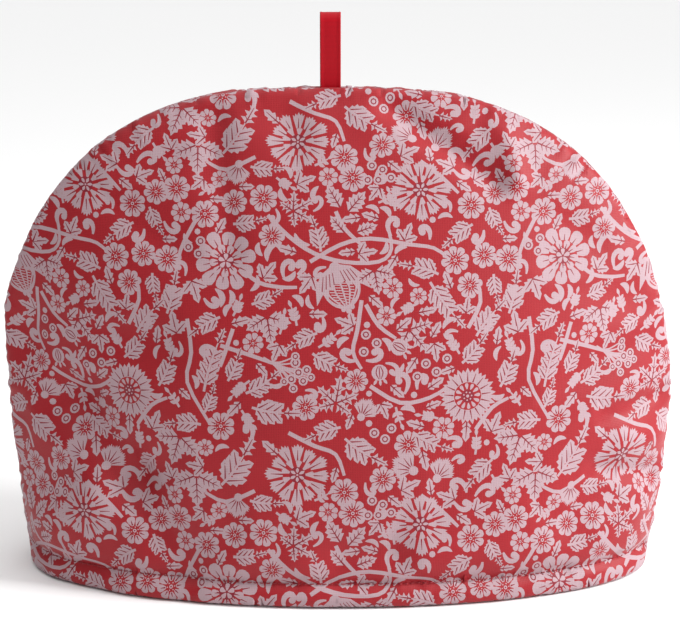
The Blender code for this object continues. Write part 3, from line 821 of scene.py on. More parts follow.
def cut_by_colour(outline, shapes, extra):
    """Divide a flat panel into triangles of one colour each. Returns points, triangles, tones."""
    lo = [min(p[a] for p in outline) for a in (0, 1)]
    hi = [max(p[a] for p in outline) for a in (0, 1)]
    whole = np.array(outline)
    points, index, triangles, tones = [], {}, [], []
    tidy = [(shape, np.array(shape), tone) for shape, tone in shapes]
    extra = np.round(extra, 2)

    def point_id(x, y):
        key = (round(x * 1000), round(y * 1000))
        if key not in index:
            index[key] = len(points)
            points.append((x, y))
        return index[key]

    def cell_part(shape, low, high):
        for axis in (0, 1):
            if len(shape) > 2:
                shape = clipped(shape, axis, low[axis], True)
            if len(shape) > 2:
                shape = clipped(shape, axis, high[axis], False)
        return shape if len(shape) > 2 else []

    for i in range(math.floor(lo[0] / CELL), math.ceil(hi[0] / CELL)):
        x0, x1 = i * CELL, (i + 1) * CELL
        column = [row for row in tidy if row[1][:, 0].max() > x0 and row[1][:, 0].min() < x1]
        for j in range(math.floor(lo[1] / CELL), math.ceil(hi[1] / CELL)):
            y0, y1 = j * CELL, (j + 1) * CELL
            cell = cell_part(outline, (x0, y0), (x1, y1))
            if not cell:
                continue
            here = [row for row in column if row[1][:, 1].max() > y0 and row[1][:, 1].min() < y1]
            verts, edges, seen = [], [], {}
            for part in [cell] + [cell_part(shape, (x0, y0), (x1, y1)) for shape, _, _ in here]:
                ids = []
                for x, y in part:
                    key = (round(x * 100), round(y * 100))
                    if key not in seen:
                        seen[key] = len(verts)
                        verts.append(Vector((key[0] / 100.0, key[1] / 100.0)))
                    ids.append(seen[key])
                edges += [(a, b) for a, b in zip(ids, ids[1:] + ids[:1]) if a != b]
            count = int(round(CELL / GRID)) + 1
            net = [(x0 + GRID * a, y0 + GRID * b) for a in range(count) for b in range(count)]
            near = (extra[:, 0] > x0) & (extra[:, 0] < x1) & (extra[:, 1] > y0) & (extra[:, 1] < y1)
            for x, y in net + extra[near].tolist():
                key = (round(x * 100), round(y * 100))
                if key not in seen:
                    seen[key] = len(verts)
                    verts.append(Vector((key[0] / 100.0, key[1] / 100.0)))
            out_v, _, out_f, _, _, _ = delaunay_2d_cdt(verts, edges, [], 0, 0.002, False)
            flat = np.array([p[:] for p in out_v])
            tri = np.array(out_f)
            middle = flat[tri].mean(axis=1)
            keep = wraps(whole, middle[:, 0], middle[:, 1])
            tri, middle = tri[keep], middle[keep]
            tone = np.zeros(len(tri), dtype=int)
            for _, outer, value in here:
                low, high = outer.min(axis=0), outer.max(axis=0)
                close = np.where(((middle > low) & (middle < high)).all(axis=1))[0]
                if len(close):
                    tone[close[wraps(outer, middle[close, 0], middle[close, 1])]] = value
            used = set(tri.ravel().tolist())
            number = [point_id(x, y) if k in used else -1 for k, (x, y) in enumerate(flat.tolist())]
            for face, value in zip(tri.tolist(), tone.tolist()):
                a, b, c = (number[k] for k in face)
                if a != b and b != c and a != c:
                    triangles.append((a, b, c))
                    tones.append(value)
    return points, *closed_slits(points, triangles, tones)


def closed_slits(points, triangles, tones):
    """Where one cell of the grid has a point on its border that the next hasn't, share it."""
    for _ in range(4):
        users = {}
        for k, (a, b, c) in enumerate(triangles):
            for edge in ((a, b), (b, c), (c, a)):
                users.setdefault((min(edge), max(edge)), []).append(k)
        lone = {edge for edge, faces in users.items() if len(faces) == 1}
        near = {}
        for a, b in lone:
            near.setdefault(a, set()).add(b)
            near.setdefault(b, set()).add(a)
        split = {}
        for a, b in lone:
            (ax, ay), (bx, by) = points[a], points[b]
            for m in near[a] & near[b]:
                mx, my = points[m]
                if (mx - ax) * (bx - mx) + (my - ay) * (by - my) > 0 and users[(a, b)][0] not in split:
                    split[users[(a, b)][0]] = (a, b, m)
        if not split:
            break
        for k, (a, b, m) in split.items():
            face = triangles[k]
            triangles[k] = tuple(m if p == b else p for p in face)
            triangles.append(tuple(m if p == a else p for p in face))
            tones.append(tones[k])
    return triangles, tones


# ---- wadding: a cloth simulation of how the padded cloth settles between its seams ----
SIM_STEP = 4.0 * MM
SIM_FRAMES = 18
SIM_CAP = 2.6 * MM


def smooth_grid(grid, passes):
    """Blur a grid by repeated small averages."""
    for _ in range(passes):
        for axis in (0, 1):
            before = np.roll(grid, 1, axis)
            after = np.roll(grid, -1, axis)
            grid = 0.25 * before + 0.5 * grid + 0.25 * after
    return grid


def settle_wadding(skin, rule, folds, name):
    """Grid of how far the padded cloth moves out (+) or in (-) as it settles."""
    us = np.arange(-188, 189, 4) * MM
    vs = np.arange(0, 277, 4) * MM
    settled = np.zeros((len(vs), len(us)))
    gu, gv = np.meshgrid(us, vs)
    flat_u, flat_v = gu.ravel(), gv.ravel()
    inside = np.abs(flat_u) < skin.half_girth(np.minimum(flat_v, skin.length), flat_u)
    inside &= flat_v < skin.length
    keep = np.where(inside)[0]
    gap, _ = rule.measure(flat_u[keep], flat_v[keep])
    keep = keep[gap > 2.2 * MM]
    seam_u, seam_v = even_steps(rule.u, rule.v, SIM_STEP)
    hem_u = np.arange(-0.172, 0.1721, 4.0 * MM)
    loop_u = np.concatenate([seam_u, hem_u[::-1]])
    loop_v = np.concatenate([seam_v, np.zeros_like(hem_u)])
    keep = keep[flat_v[keep] > 0.0]
    all_u = np.concatenate([loop_u, flat_u[keep]])
    all_v = np.concatenate([loop_v, flat_v[keep]])
    ring = list(range(len(loop_u)))[::-1]
    coords = [Vector((u * 1000.0, v * 1000.0)) for u, v in zip(all_u, all_v)]
    points, _, faces, _, _, _ = delaunay_2d_cdt(coords, [], [ring], 1, 0.001, True)
    flat = np.array([p[:] for p in points]) * MM
    start = skin.place(flat[:, 0], flat[:, 1])
    out = skin.normal(flat[:, 0], flat[:, 1])
    start += relief(flat[:, 0], flat[:, 1], folds)[:, None] * out

    mesh = bpy.data.meshes.new(name + "_settling")
    mesh.from_pydata(start.tolist(), [], faces)
    cloth = bpy.data.objects.new(name + "_settling", mesh)
    bpy.context.scene.collection.objects.link(cloth)
    gap, _ = rule.measure(flat[:, 0], flat[:, 1])
    # the seam, the hem and its stitching hold the cloth; the rest moves freely
    sewn = (gap < 1.0 * MM) | (np.abs(flat[:, 1] - HEM_BAND) < 1.2 * MM) | (flat[:, 1] < 1.0 * MM)
    group = cloth.vertex_groups.new(name="sewn")
    group.add([int(k) for k in np.where(sewn)[0]], 1.0, "ADD")
    group.add([int(k) for k in np.where(~sewn)[0]], 0.02, "ADD")
    # stiff cotton over soft wadding: it swells a little and buckles where it is held
    settling = cloth.modifiers.new("settling", "CLOTH")
    settings = settling.settings
    settings.quality = 5
    settings.mass = 0.15
    settings.tension_stiffness = 25.0
    settings.compression_stiffness = 25.0
    settings.shear_stiffness = 12.0
    settings.bending_stiffness = 0.25
    settings.air_damping = 4.0
    settings.vertex_group_mass = "sewn"
    settings.pin_stiffness = 1.0
    settings.shrink_min = -0.022
    settings.use_pressure = True
    settings.uniform_pressure_force = 1.2
    settings.effector_weights.gravity = 0.0
    settling.point_cache.frame_start = 1
    settling.point_cache.frame_end = SIM_FRAMES
    scene = bpy.context.scene
    for number in range(1, SIM_FRAMES + 1):
        scene.frame_set(number)
    shaped = cloth.evaluated_get(bpy.context.evaluated_depsgraph_get())
    end = np.empty(len(shaped.data.vertices) * 3)
    shaped.data.vertices.foreach_get("co", end)
    moved = ((end.reshape(-1, 3) - start) * out).sum(axis=1)
    scene.frame_set(1)
    bpy.data.objects.remove(cloth, do_unlink=True)
    bpy.data.meshes.remove(mesh)

    col = np.rint((flat[:, 0] - us[0]) / SIM_STEP).astype(int)
    row = np.rint((flat[:, 1] - vs[0]) / SIM_STEP).astype(int)
    on_grid = np.hypot(us[np.clip(col, 0, len(us) - 1)] - flat[:, 0],
                       vs[np.clip(row, 0, len(vs) - 1)] - flat[:, 1]) < 0.1 * MM
    settled[row[on_grid], col[on_grid]] = moved[on_grid]
    # the broad swelling is in the panel's shape already, so mostly small buckles are kept
    broad = smooth_grid(settled, 26)
    settled = np.where(settled != 0.0, settled - 0.85 * broad, 0.0)
    settled = smooth_grid(SIM_CAP * np.tanh(settled / SIM_CAP), 1)
    return us, vs, settled


def read_grid(field, u, v):
    """Smooth (cubic) reading of a grid at points of the flat cloth."""
    us, vs, grid = field
    x = np.clip((u - us[0]) / SIM_STEP, 1.0, len(us) - 3.001)
    y = np.clip((v - vs[0]) / SIM_STEP, 1.0, len(vs) - 3.001)
    i, j = x.astype(int), y.astype(int)
    fx, fy = x - i, y - j

    def weights(t):
        return (0.5 * (-t + 2 * t ** 2 - t ** 3), 0.5 * (2 - 5 * t ** 2 + 3 * t ** 3),
                0.5 * (t + 4 * t ** 2 - 3 * t ** 3), 0.5 * (t ** 3 - t ** 2))

    total = np.zeros_like(u)
    for a, wy in enumerate(weights(fy)):
        for b, wx in enumerate(weights(fx)):
            total += wy * wx * grid[j + a - 1, i + b - 1]
    return total


# ---- the padded panels --------------------------------------------------------
def rim_depth(x):
    """Distance of the rim from the seam plane: deeper where the ribbon's tails pass."""
    t = np.clip((6.2 * MM - np.abs(x - RIBBON_X)) / (0.85 * MM), 0.0, 1.0)
    return HALF_GAP + (POCKET_DEPTH - HALF_GAP) * t * t * (3.0 - 2.0 * t)


def outer_skin(skin, rule, u, v, folds, phase, seed, field):
    """The outside of a panel: seam swelling, hem, folds, tucks and settled wadding."""
    gap, run = rule.measure(u, v)
    at = skin.place(u, v)
    near = np.clip(gap / EDGE_PUFF, 0.0, 1.0)
    swell = EDGE_PUFF * np.sqrt(1.0 - (1.0 - near) ** 2)
    swell -= 0.6 * HEM_ROUND * np.clip(1.0 - v / HEM_ROUND, 0.0, 1.0) * near
    fade = 1.0 - np.exp(-(gap / (9.0 * MM)) ** 2)
    lift = fade * (relief(u, v, folds) + hem_relief(v) + read_grid(field, u, v))
    lift += gathers(gap, run, seed) * np.clip((v - 1.5 * MM) / (6.0 * MM), 0.0, 1.0)
    lift += hem_gathers(u, v, seed + 20.0) * np.clip(gap / (6.0 * MM), 0.0, 1.0)
    at[:, 1] += skin.sign * swell
    rise = gap / (2.6 * MM)
    crest = SEAM_SINK * seam_waves(run, phase) * rise * np.exp(1.0 - rise)
    at += crest[:, None] * skin.outward(at[:, 0], at[:, 2])
    out = skin.normal(u, v)
    low = v < 1e-7                       # the hem's edge stays on the ground
    out[low, 2] = 0.0
    at += lift[:, None] * out
    at[low, 2] = 0.0
    seam = gap < 1e-6
    at[seam, 1] = skin.sign * rim_depth(at[seam, 0])
    return at


def inner_skin(skin, outer, rule, u, v, folds):
    """The inside of a panel, which follows the folds more gently."""
    gap, _ = rule.measure(u, v)
    out = outer.outward(u, outer.height_of(v))
    shift = PADDING * np.exp(-gap / (70.0 * MM))
    iu, iv = u - shift * out[:, 0], np.clip(v - shift * out[:, 2], 0.0, skin.length)
    at = skin.place(iu, iv)
    facing = skin.normal(iu, iv)
    low = v < 1e-7
    facing[low, 2] = 0.0
    fade = 1.0 - np.exp(-(gap / (22.0 * MM)) ** 2)
    at += (0.6 * fade * relief(u, v, folds))[:, None] * facing
    at[low, 2] = 0.0
    seam = gap < 1e-6
    at[seam, 1] = skin.sign * rim_depth(at[seam, 0])
    return at


def boundary_loop(triangles, count):
    """The outer edge of a flat mesh as one closed line of points."""
    edges = np.sort(np.array(triangles)[:, [0, 1, 1, 2, 2, 0]].reshape(-1, 2), axis=1)
    _, first, times = np.unique(edges[:, 0] * count + edges[:, 1], return_index=True, return_counts=True)
    lone = edges[first[times == 1]]
    after = {}
    for a, b in lone.tolist():
        after.setdefault(a, []).append(b)
        after.setdefault(b, []).append(a)
    start = int(lone[0][0])
    loop, before = [start], None
    while True:
        options = [k for k in after[loop[-1]] if k != before]
        before = loop[-1]
        if options[0] == start or len(loop) > len(lone):
            return loop
        loop.append(options[0])


def fine_rows(skin, rule):
    """Extra points where the cloth turns sharply: beside the seam and round the hem."""
    rows = []
    su, sv = even_steps(rule.u, rule.v, 2.0 * MM)
    out = skin.outward(su, skin.height_of(sv))
    for depth in (0.35, 0.9, 1.7, 2.7, 4.0, 5.4):
        rows.append(np.stack([su - depth * MM * out[:, 0], sv - depth * MM * out[:, 2]], axis=1))
    for height, step in ((0.35, 2.0), (0.9, 2.0), (1.7, 2.0), (3.6, 2.5), (8.8, 2.0),
                         (10.1, 1.6), (11.5, 1.6), (12.9, 1.6), (14.4, 2.0)):
        u = np.arange(-0.174, 0.1741, step * MM)
        rows.append(np.stack([u, np.full_like(u, height * MM)], axis=1))
    every = np.concatenate(rows)
    inside = np.abs(every[:, 0]) < skin.half_girth(every[:, 1], every[:, 0]) - 0.2 * MM
    inside &= (every[:, 1] > 0.2 * MM) & (every[:, 1] < skin.length - 0.2 * MM)
    return every[inside]


def finished(name, mesh, sharp=None):
    """A piece from its mesh: faces turned outwards, smooth but for edges sharper than this."""
    tidy = bmesh.new()
    tidy.from_mesh(mesh)
    bmesh.ops.recalc_face_normals(tidy, faces=tidy.faces)
    tidy.to_mesh(mesh)
    tidy.free()
    mesh.shade_smooth()
    if sharp:
        mesh.set_sharp_from_angle(angle=math.radians(sharp))
    piece = bpy.data.objects.new(name, mesh)
    bpy.context.scene.collection.objects.link(piece)
    return piece


def sew_panel(name, sign, folds, phase, seed, shift, cotton, plain):
    """One padded panel, its print cut into the mesh of its outside."""
    outer, inner = Skin(0.0, sign), Skin(PADDING, sign)
    rule = SeamRule(outer)
    line_u, line_v = even_steps(rule.u, rule.v, 2.0 * MM)
    outline = [(u * 1000.0, v * 1000.0) for u, v in zip(line_u, line_v)]
    printed = Cloth()
    draw_repeat(printed)
    flip = 1.0 if sign < 0 else -1.0
    shapes = []
    for points, tone in printed.shapes:
        xs, ys = [p[0] for p in points], [p[1] for p in points]
        for i in range(-3, 4):
            for j in range(-3, 4):
                dx, dy = i * PRINT_W + shift[0], j * PRINT_H + shift[1]
                if max(xs) + dx > -182 and min(xs) + dx < 182 and max(ys) + dy > 0 and min(ys) + dy < 275:
                    shapes.append(([(flip * (x + dx), y + dy) for x, y in points], tone))
    field = settle_wadding(outer, rule, folds, name)
    flat, triangles, tones = cut_by_colour(outline, shapes, fine_rows(outer, rule) * 1000.0)
    flat = np.array(flat) * MM
    edge = np.array(boundary_loop(triangles, len(flat)))
    u, v = flat[:, 0], flat[:, 1]
    on_hem = np.abs(v[edge]) < 0.02 * MM
    v[edge[on_hem]] = 0.0
    at = outer_skin(outer, rule, u, v, folds, phase, seed, field)

    # the inside, from the same edge and a coarser net of points
    grid_u, grid_v = np.meshgrid(np.arange(-180, 181, 7.5) * MM, np.arange(7.5, 271, 7.5) * MM)
    gu, gv = grid_u.ravel(), grid_v.ravel()
    fits = np.abs(gu) < outer.half_girth(np.minimum(gv, outer.length), gu)
    gu, gv = gu[fits & (gv < outer.length)], gv[fits & (gv < outer.length)]
    far, _ = rule.measure(gu, gv)
    gu, gv = gu[far > 3.0 * MM], gv[far > 3.0 * MM]
    every_u, every_v = np.append(u[edge], gu) * 1000.0, np.append(v[edge], gv) * 1000.0
    coords = [Vector(pair) for pair in zip(every_u, every_v)]
    ring = [(k, (k + 1) % len(edge)) for k in range(len(edge))]
    in_points, _, in_faces, source, _, _ = delaunay_2d_cdt(coords, ring, [], 0, 0.0001, True)
    spots = np.array([p[:] for p in in_points])
    from_edge = {original: k for k, made_from in enumerate(source)
                 for original in made_from if original < len(edge)}
    line = spots[[from_edge[k] for k in range(len(edge))]]
    middle = spots[np.array(in_faces)].mean(axis=1)
    in_faces = [f for f, ok in zip(in_faces, wraps(line, middle[:, 0], middle[:, 1])) if ok]
    in_flat = spots * MM
    for original, k in from_edge.items():
        in_flat[k] = flat[edge[original]]
    base = len(flat)
    in_at = inner_skin(inner, outer, rule, in_flat[:, 0], in_flat[:, 1], folds)

    faces = [tuple(t) for t in triangles] + [tuple(base + k for k in f) for f in in_faces]
    skin_end, inner_end = len(triangles), len(faces)
    for a in range(len(edge)):
        b = (a + 1) % len(edge)
        faces.append((int(edge[a]), int(edge[b]), base + from_edge[b], base + from_edge[a]))
    mesh = bpy.data.meshes.new(name)
    mesh.from_pydata(np.concatenate([at, in_at]).tolist(), [], faces)
    mesh.materials.append(cotton)
    mesh.materials.append(plain)
    inside = np.zeros(len(faces), dtype=np.int32)
    inside[skin_end:inner_end] = 1
    mesh.polygons.foreach_set("material_index", inside)
    tone = mesh.attributes.new("print_tone", "FLOAT", "FACE")
    level = np.zeros(len(faces), dtype=np.float32)
    level[:skin_end] = np.array(tones, dtype=np.float32)
    tone.data.foreach_set("value", level)

    corner = np.empty(len(mesh.loops), dtype=np.int32)
    mesh.loops.foreach_get("vertex_index", corner)
    every_flat = np.concatenate([flat, in_flat])
    sheet = every_flat[corner]
    cloth_map = mesh.uv_layers.new(name="cloth")
    cloth_map.data.foreach_set("uv", sheet.ravel().astype(np.float32))
    bake = np.empty_like(sheet)
    bake[:, 0] = (sheet[:, 0] + 0.19) / 0.38
    bake[:, 1] = 0.01 + sheet[:, 1] / 0.38
    starts = np.array([p.loop_start for p in mesh.polygons[skin_end:]])
    inner_first = starts[0]
    rim_first = starts[inner_end - skin_end]
    bake[inner_first:rim_first, 0] = 0.02 + (sheet[inner_first:rim_first, 0] + 0.19) * 0.9
    bake[inner_first:rim_first, 1] = 0.72 + sheet[inner_first:rim_first, 1] * 0.9
    for k, first in enumerate(starts[inner_end - skin_end:]):
        x0, x1 = 0.42 + 0.56 * (k / len(edge)), 0.42 + 0.56 * ((k + 1) / len(edge))
        bake[first:first + 4] = ((x0, 0.74), (x1, 0.74), (x1, 0.80), (x0, 0.80))
    mesh.uv_layers.new(name="OFBake").data.foreach_set("uv", bake.ravel().astype(np.float32))
    mesh.uv_layers["cloth"].active_render = True

    panel = finished(name, mesh, 60.0)
    flat_area = sum(0.5 * abs((flat[b][0] - flat[a][0]) * (flat[c][1] - flat[a][1])
                              - (flat[c][0] - flat[a][0]) * (flat[b][1] - flat[a][1]))
                    for a, b, c in triangles)
    size = (float(u.max() - u.min()), float(v.max()))
    return panel, size, flat_area


# ---- the ribbon loop ------------------------------------------------------------
SELVEDGE_HALF = 0.5 * MM     # half the thickness of the ribbon's firm edges


def loop_line():
    """Middle of the ribbon in the Y-Z plane, from one tail over the top to the other."""
    tail_y = HALF_GAP + SELVEDGE_HALF
    turn_at = SEAM_HEIGHT + LOOP_RISE - SELVEDGE_HALF - LOOP_RADIUS
    low = SEAM_HEIGHT + 2.0 * MM
    half = [(tail_y, SEAM_HEIGHT - TAIL_DEPTH), (tail_y, SEAM_HEIGHT - 1.0 * MM)]
    for k in range(25):
        t = k / 24.0
        half.append((tail_y + (LOOP_RADIUS - tail_y) * t * t * (3.0 - 2.0 * t), low + (turn_at - low) * t))
    for k in range(1, 15):
        a = 0.5 * math.pi * k / 14.0
        half.append((LOOP_RADIUS * math.cos(a), turn_at + LOOP_RADIUS * math.sin(a)))
    return [(-y, z) for y, z in half[:-1]] + half[::-1]


def weave_ribbon(material):
    """The ribbon: a thin woven band with firm selvedges, folded in half."""
    path = loop_line()
    across = np.array([-5.0, -4.85, -4.4, -3.9, -2.6, -1.3, 0.0, 1.3, 2.6, 3.9, 4.4, 4.85, 5.0]) * MM
    thick = np.array([0.20, 0.42, 0.50, 0.34, 0.36, 0.37, 0.37, 0.37, 0.36, 0.34, 0.50, 0.42, 0.20]) * MM
    verts, faces, flat = [], [], []
    run = 0.0
    n = len(across)
    for i, (y, z) in enumerate(path):
        y0, z0 = path[max(i - 1, 0)]
        y1, z1 = path[min(i + 1, len(path) - 1)]
        size = math.hypot(y1 - y0, z1 - z0)
        ny, nz = -(z1 - z0) / size, (y1 - y0) / size
        if i:
            run += math.hypot(y - y0, z - z0)
        for side in (1, -1):
            for k in (range(n) if side > 0 else range(n - 1, -1, -1)):
                off = side * thick[k]
                verts.append((RIBBON_X + across[k], y + off * ny, z + off * nz))
                flat.append((across[k] if side > 0 else across[k] + 0.02, run))
    ring = 2 * n
    for i in range(len(path) - 1):
        for k in range(ring):
            a, b = i * ring + k, i * ring + (k + 1) % ring
            faces.append((a, b, b + ring, a + ring))
    faces.append(tuple(range(ring))[::-1])
    last = (len(path) - 1) * ring
    faces.append(tuple(last + k for k in range(ring)))
    mesh = bpy.data.meshes.new("ribbon_loop")
    mesh.from_pydata(verts, [], faces)
    cloth_map = mesh.uv_layers.new(name="cloth")
    for loop in mesh.loops:
        cloth_map.data[loop.index].uv = flat[loop.vertex_index]
    mesh.materials.append(material)
    return finished("ribbon_loop", mesh, 55.0), run


# ---- the stitching of the hem --------------------------------------------------------
STITCH_PITCH = 3.0 * MM
STITCH_LENGTH = 2.1 * MM
THREAD = 0.24 * MM           # half the thread's thickness


def stitch_hem(name, sign, folds, phase, seed, material):
    """A line of machine stitches, each a short arched thread, pressed into the furrow."""
    skin = Skin(0.0, sign)
    rule = SeamRule(skin)
    half = float(skin.half_girth(np.array([HEM_BAND]), np.array([1.0]))[0]) - 4.0 * MM
    centres = np.arange(-half, half, STITCH_PITCH)
    still = (np.array([-1.0, 0.0, 1.0, 2.0]), np.array([-1.0, 0.0, 1.0, 2.0]), np.zeros((4, 4)))
    stations = 5
    share = np.linspace(-0.5, 0.5, stations)
    u = (centres[:, None] + share * STITCH_LENGTH).ravel()
    v = np.full_like(u, HEM_BAND)
    at = outer_skin(skin, rule, u, v, folds, phase, seed, still)
    out = skin.normal(u, v)
    arch = np.tile(np.array([-0.35, 0.12, 0.22, 0.12, -0.35]) * MM, len(centres))
    at += arch[:, None] * out
    verts, faces = [], []
    for k in range(len(centres)):
        line = at[k * stations:(k + 1) * stations]
        along = line[-1] - line[0]
        along /= np.linalg.norm(along)
        side = out[k * stations + 2]
        other = np.cross(along, side)
        base = len(verts)
        for p in line:
            for turn in range(6):
                a = math.pi * turn / 3.0
                verts.append(tuple(p + THREAD * (math.cos(a) * side + math.sin(a) * other)))
        for i in range(stations - 1):
            for turn in range(6):
                a, b = base + i * 6 + turn, base + i * 6 + (turn + 1) % 6
                faces.append((a, b, b + 6, a + 6))
        faces.append(tuple(base + turn for turn in range(6))[::-1])
        faces.append(tuple(base + (stations - 1) * 6 + turn for turn in range(6)))
    mesh = bpy.data.meshes.new(name)
    mesh.from_pydata(verts, [], faces)
    mesh.materials.append(material)
    return finished(name, mesh)


# ---- materials ------------------------------------------------------------------
def linear(colour):
    """Linear colour of an sRGB hex value such as C8323A."""
    parts = [int(colour[k:k + 2], 16) / 255.0 for k in (0, 2, 4)]
    return tuple(c / 12.92 if c <= 0.04045 else ((c + 0.055) / 1.055) ** 2.4 for c in parts) + (1.0,)


def node(tree, kind, settings=None, values=None, links=None):
    """Add a node with its settings, its socket values and the links into it."""
    made = tree.nodes.new(kind)
    for name, value in (settings or {}).items():
        setattr(made, name, value)
    for socket, value in (values or {}).items():
        made.inputs[socket].default_value = value
    for socket, source in (links or {}).items():
        tree.links.new(source, made.inputs[socket])
    return made


def new_material(name):
    material = bpy.data.materials.new(name)
    material.use_nodes = True
    tree = material.node_tree
    tree.nodes.clear()
    shader = node(tree, "ShaderNodeBsdfPrincipled")
    node(tree, "ShaderNodeOutputMaterial", links={"Surface": shader.outputs["BSDF"]})
    return material, tree, shader


def woven(tree, spacing, wander):
    """The cloth's own map, and the height (0 to 1) of a weave with threads this far apart."""
    place = node(tree, "ShaderNodeUVMap", {"uv_map": "cloth"}).outputs["UV"]
    bands = []
    for direction in ("X", "Y"):
        wave = node(tree, "ShaderNodeTexWave",
                    {"wave_type": "BANDS", "bands_direction": direction, "wave_profile": "SIN"},
                    {"Scale": 0.314159 / spacing, "Distortion": wander, "Detail": 1.0, "Detail Scale": 1.2},
                    {"Vector": place})
        bands.append(wave.outputs["Fac"])
    both = node(tree, "ShaderNodeMath", {"operation": "MAXIMUM"}, links={0: bands[0], 1: bands[1]})
    return place, both.outputs[0]


def printed_cotton(ground, ink, line):
    """Cotton sateen, printed with screens: matt ink, a soft sheen on the dyed ground.

    Three flat colours with crisp edges, a fine weave under all of them, and a slight
    cloudiness where the cloth took the dye unevenly.
    """
    material, tree, shader = new_material("screen_printed_cotton_sateen")
    # threads are really about 0.35 mm apart; drawn at 0.8 mm, as fine as can still show
    place, weave = woven(tree, 0.8 * MM, 1.2)
    tone = node(tree, "ShaderNodeAttribute", {"attribute_name": "print_tone"}).outputs["Fac"]
    is_ink = node(tree, "ShaderNodeMath", {"operation": "COMPARE"}, {1: 1.0, 2: 0.25}, {0: tone})
    is_line = node(tree, "ShaderNodeMath", {"operation": "COMPARE"}, {1: 2.0, 2: 0.25}, {0: tone})
    cloudy = node(tree, "ShaderNodeTexNoise", {"noise_dimensions": "2D"},
                  {"Scale": 24.0, "Detail": 3.0, "Roughness": 0.6}, {"Vector": place})
    deep = tuple(c * 0.84 for c in linear(ground)[:3]) + (1.0,)
    dyed = node(tree, "ShaderNodeMix", {"data_type": "RGBA"}, {6: deep, 7: linear(ground)},
                {0: cloudy.outputs["Fac"]})
    printed = node(tree, "ShaderNodeMix", {"data_type": "RGBA"}, {7: linear(ink)},
                   {0: is_ink.outputs[0], 6: dyed.outputs[2]})
    lined = node(tree, "ShaderNodeMix", {"data_type": "RGBA"}, {7: linear(line)},
                 {0: is_line.outputs[0], 6: printed.outputs[2]})
    shade = node(tree, "ShaderNodeMapRange", values={3: 0.90, 4: 1.05}, links={0: weave})
    grain = node(tree, "ShaderNodeMix", {"data_type": "RGBA", "blend_type": "MULTIPLY"}, {0: 1.0},
                 {6: lined.outputs[2], 7: shade.outputs[0]})
    tree.links.new(grain.outputs[2], shader.inputs["Base Color"])
    rough = node(tree, "ShaderNodeMapRange", values={3: 0.50, 4: 0.66}, links={0: is_ink.outputs[0]})
    tree.links.new(rough.outputs[0], shader.inputs["Roughness"])
    bump = node(tree, "ShaderNodeBump", values={"Strength": 0.28, "Distance": 0.22 * MM},
                links={"Height": weave})
    tree.links.new(bump.outputs["Normal"], shader.inputs["Normal"])
    shader.inputs["IOR"].default_value = 1.46
    shader.inputs["Specular IOR Level"].default_value = 0.34
    shader.inputs["Sheen Weight"].default_value = 0.14
    shader.inputs["Sheen Roughness"].default_value = 0.38
    shader.inputs["Sheen Tint"].default_value = (1.0, 0.86, 0.88, 1.0)
    return material


def plain_cotton(colour):
    """Plain-dyed cotton on the inside: matt, with a plain weave."""
    material, tree, shader = new_material("plain_dyed_cotton")
    # threads are really about 0.4 mm apart; drawn at 0.9 mm, as fine as can still show
    _, weave = woven(tree, 0.9 * MM, 1.0)
    base = linear(colour)
    low = tuple(c * 0.8 for c in base[:3]) + (1.0,)
    mixed = node(tree, "ShaderNodeMix", {"data_type": "RGBA"}, {6: low, 7: base}, {0: weave})
    tree.links.new(mixed.outputs[2], shader.inputs["Base Color"])
    bump = node(tree, "ShaderNodeBump", values={"Strength": 0.3, "Distance": 0.3 * MM},
                links={"Height": weave})
    tree.links.new(bump.outputs["Normal"], shader.inputs["Normal"])
    shader.inputs["Roughness"].default_value = 0.8
    shader.inputs["IOR"].default_value = 1.46
    shader.inputs["Sheen Weight"].default_value = 0.2
    return material


def satin_ribbon(colour):
    """Woven polyester satin: clear saturated colour, fine ribs across, firm bright edges."""
    material, tree, shader = new_material("woven_satin_ribbon")
    place = node(tree, "ShaderNodeUVMap", {"uv_map": "cloth"}).outputs["UV"]
    # ribs are really 0.25 mm apart; drawn at 0.6 mm so they can show
    ribs = node(tree, "ShaderNodeTexWave", {"wave_type": "BANDS", "bands_direction": "Y"},
                {"Scale": 0.314159 / (0.6 * MM), "Distortion": 0.4}, {"Vector": place})
    base = linear(colour)
    deep = tuple(c * 0.72 for c in base[:3]) + (1.0,)
    mixed = node(tree, "ShaderNodeMix", {"data_type": "RGBA"}, {6: deep, 7: base}, {0: ribs.outputs["Fac"]})
    tree.links.new(mixed.outputs[2], shader.inputs["Base Color"])
    bump = node(tree, "ShaderNodeBump", values={"Strength": 0.35, "Distance": 0.1 * MM},
                links={"Height": ribs.outputs["Fac"]})
    tree.links.new(bump.outputs["Normal"], shader.inputs["Normal"])
    shader.inputs["Roughness"].default_value = 0.5
    shader.inputs["IOR"].default_value = 1.5
    shader.inputs["Specular IOR Level"].default_value = 0.14
    shader.inputs["Sheen Weight"].default_value = 0.03
    return material


def spun_thread(colour):
    """Spun polyester sewing thread: two plies twisted, with a low lustre."""
    material, tree, shader = new_material("spun_polyester_thread")
    place = node(tree, "ShaderNodeTexCoord").outputs["Object"]
    # the twist is really 0.3 mm long; drawn at 0.6 mm
    twist = node(tree, "ShaderNodeTexWave", {"wave_type": "BANDS", "bands_direction": "DIAGONAL"},
                 {"Scale": 0.314159 / (0.6 * MM)}, {"Vector": place})
    base = linear(colour)
    low = tuple(c * 0.7 for c in base[:3]) + (1.0,)
    mixed = node(tree, "ShaderNodeMix", {"data_type": "RGBA"}, {6: low, 7: base}, {0: twist.outputs["Fac"]})
    tree.links.new(mixed.outputs[2], shader.inputs["Base Color"])
    shader.inputs["Roughness"].default_value = 0.55
    shader.inputs["IOR"].default_value = 1.5
    return material


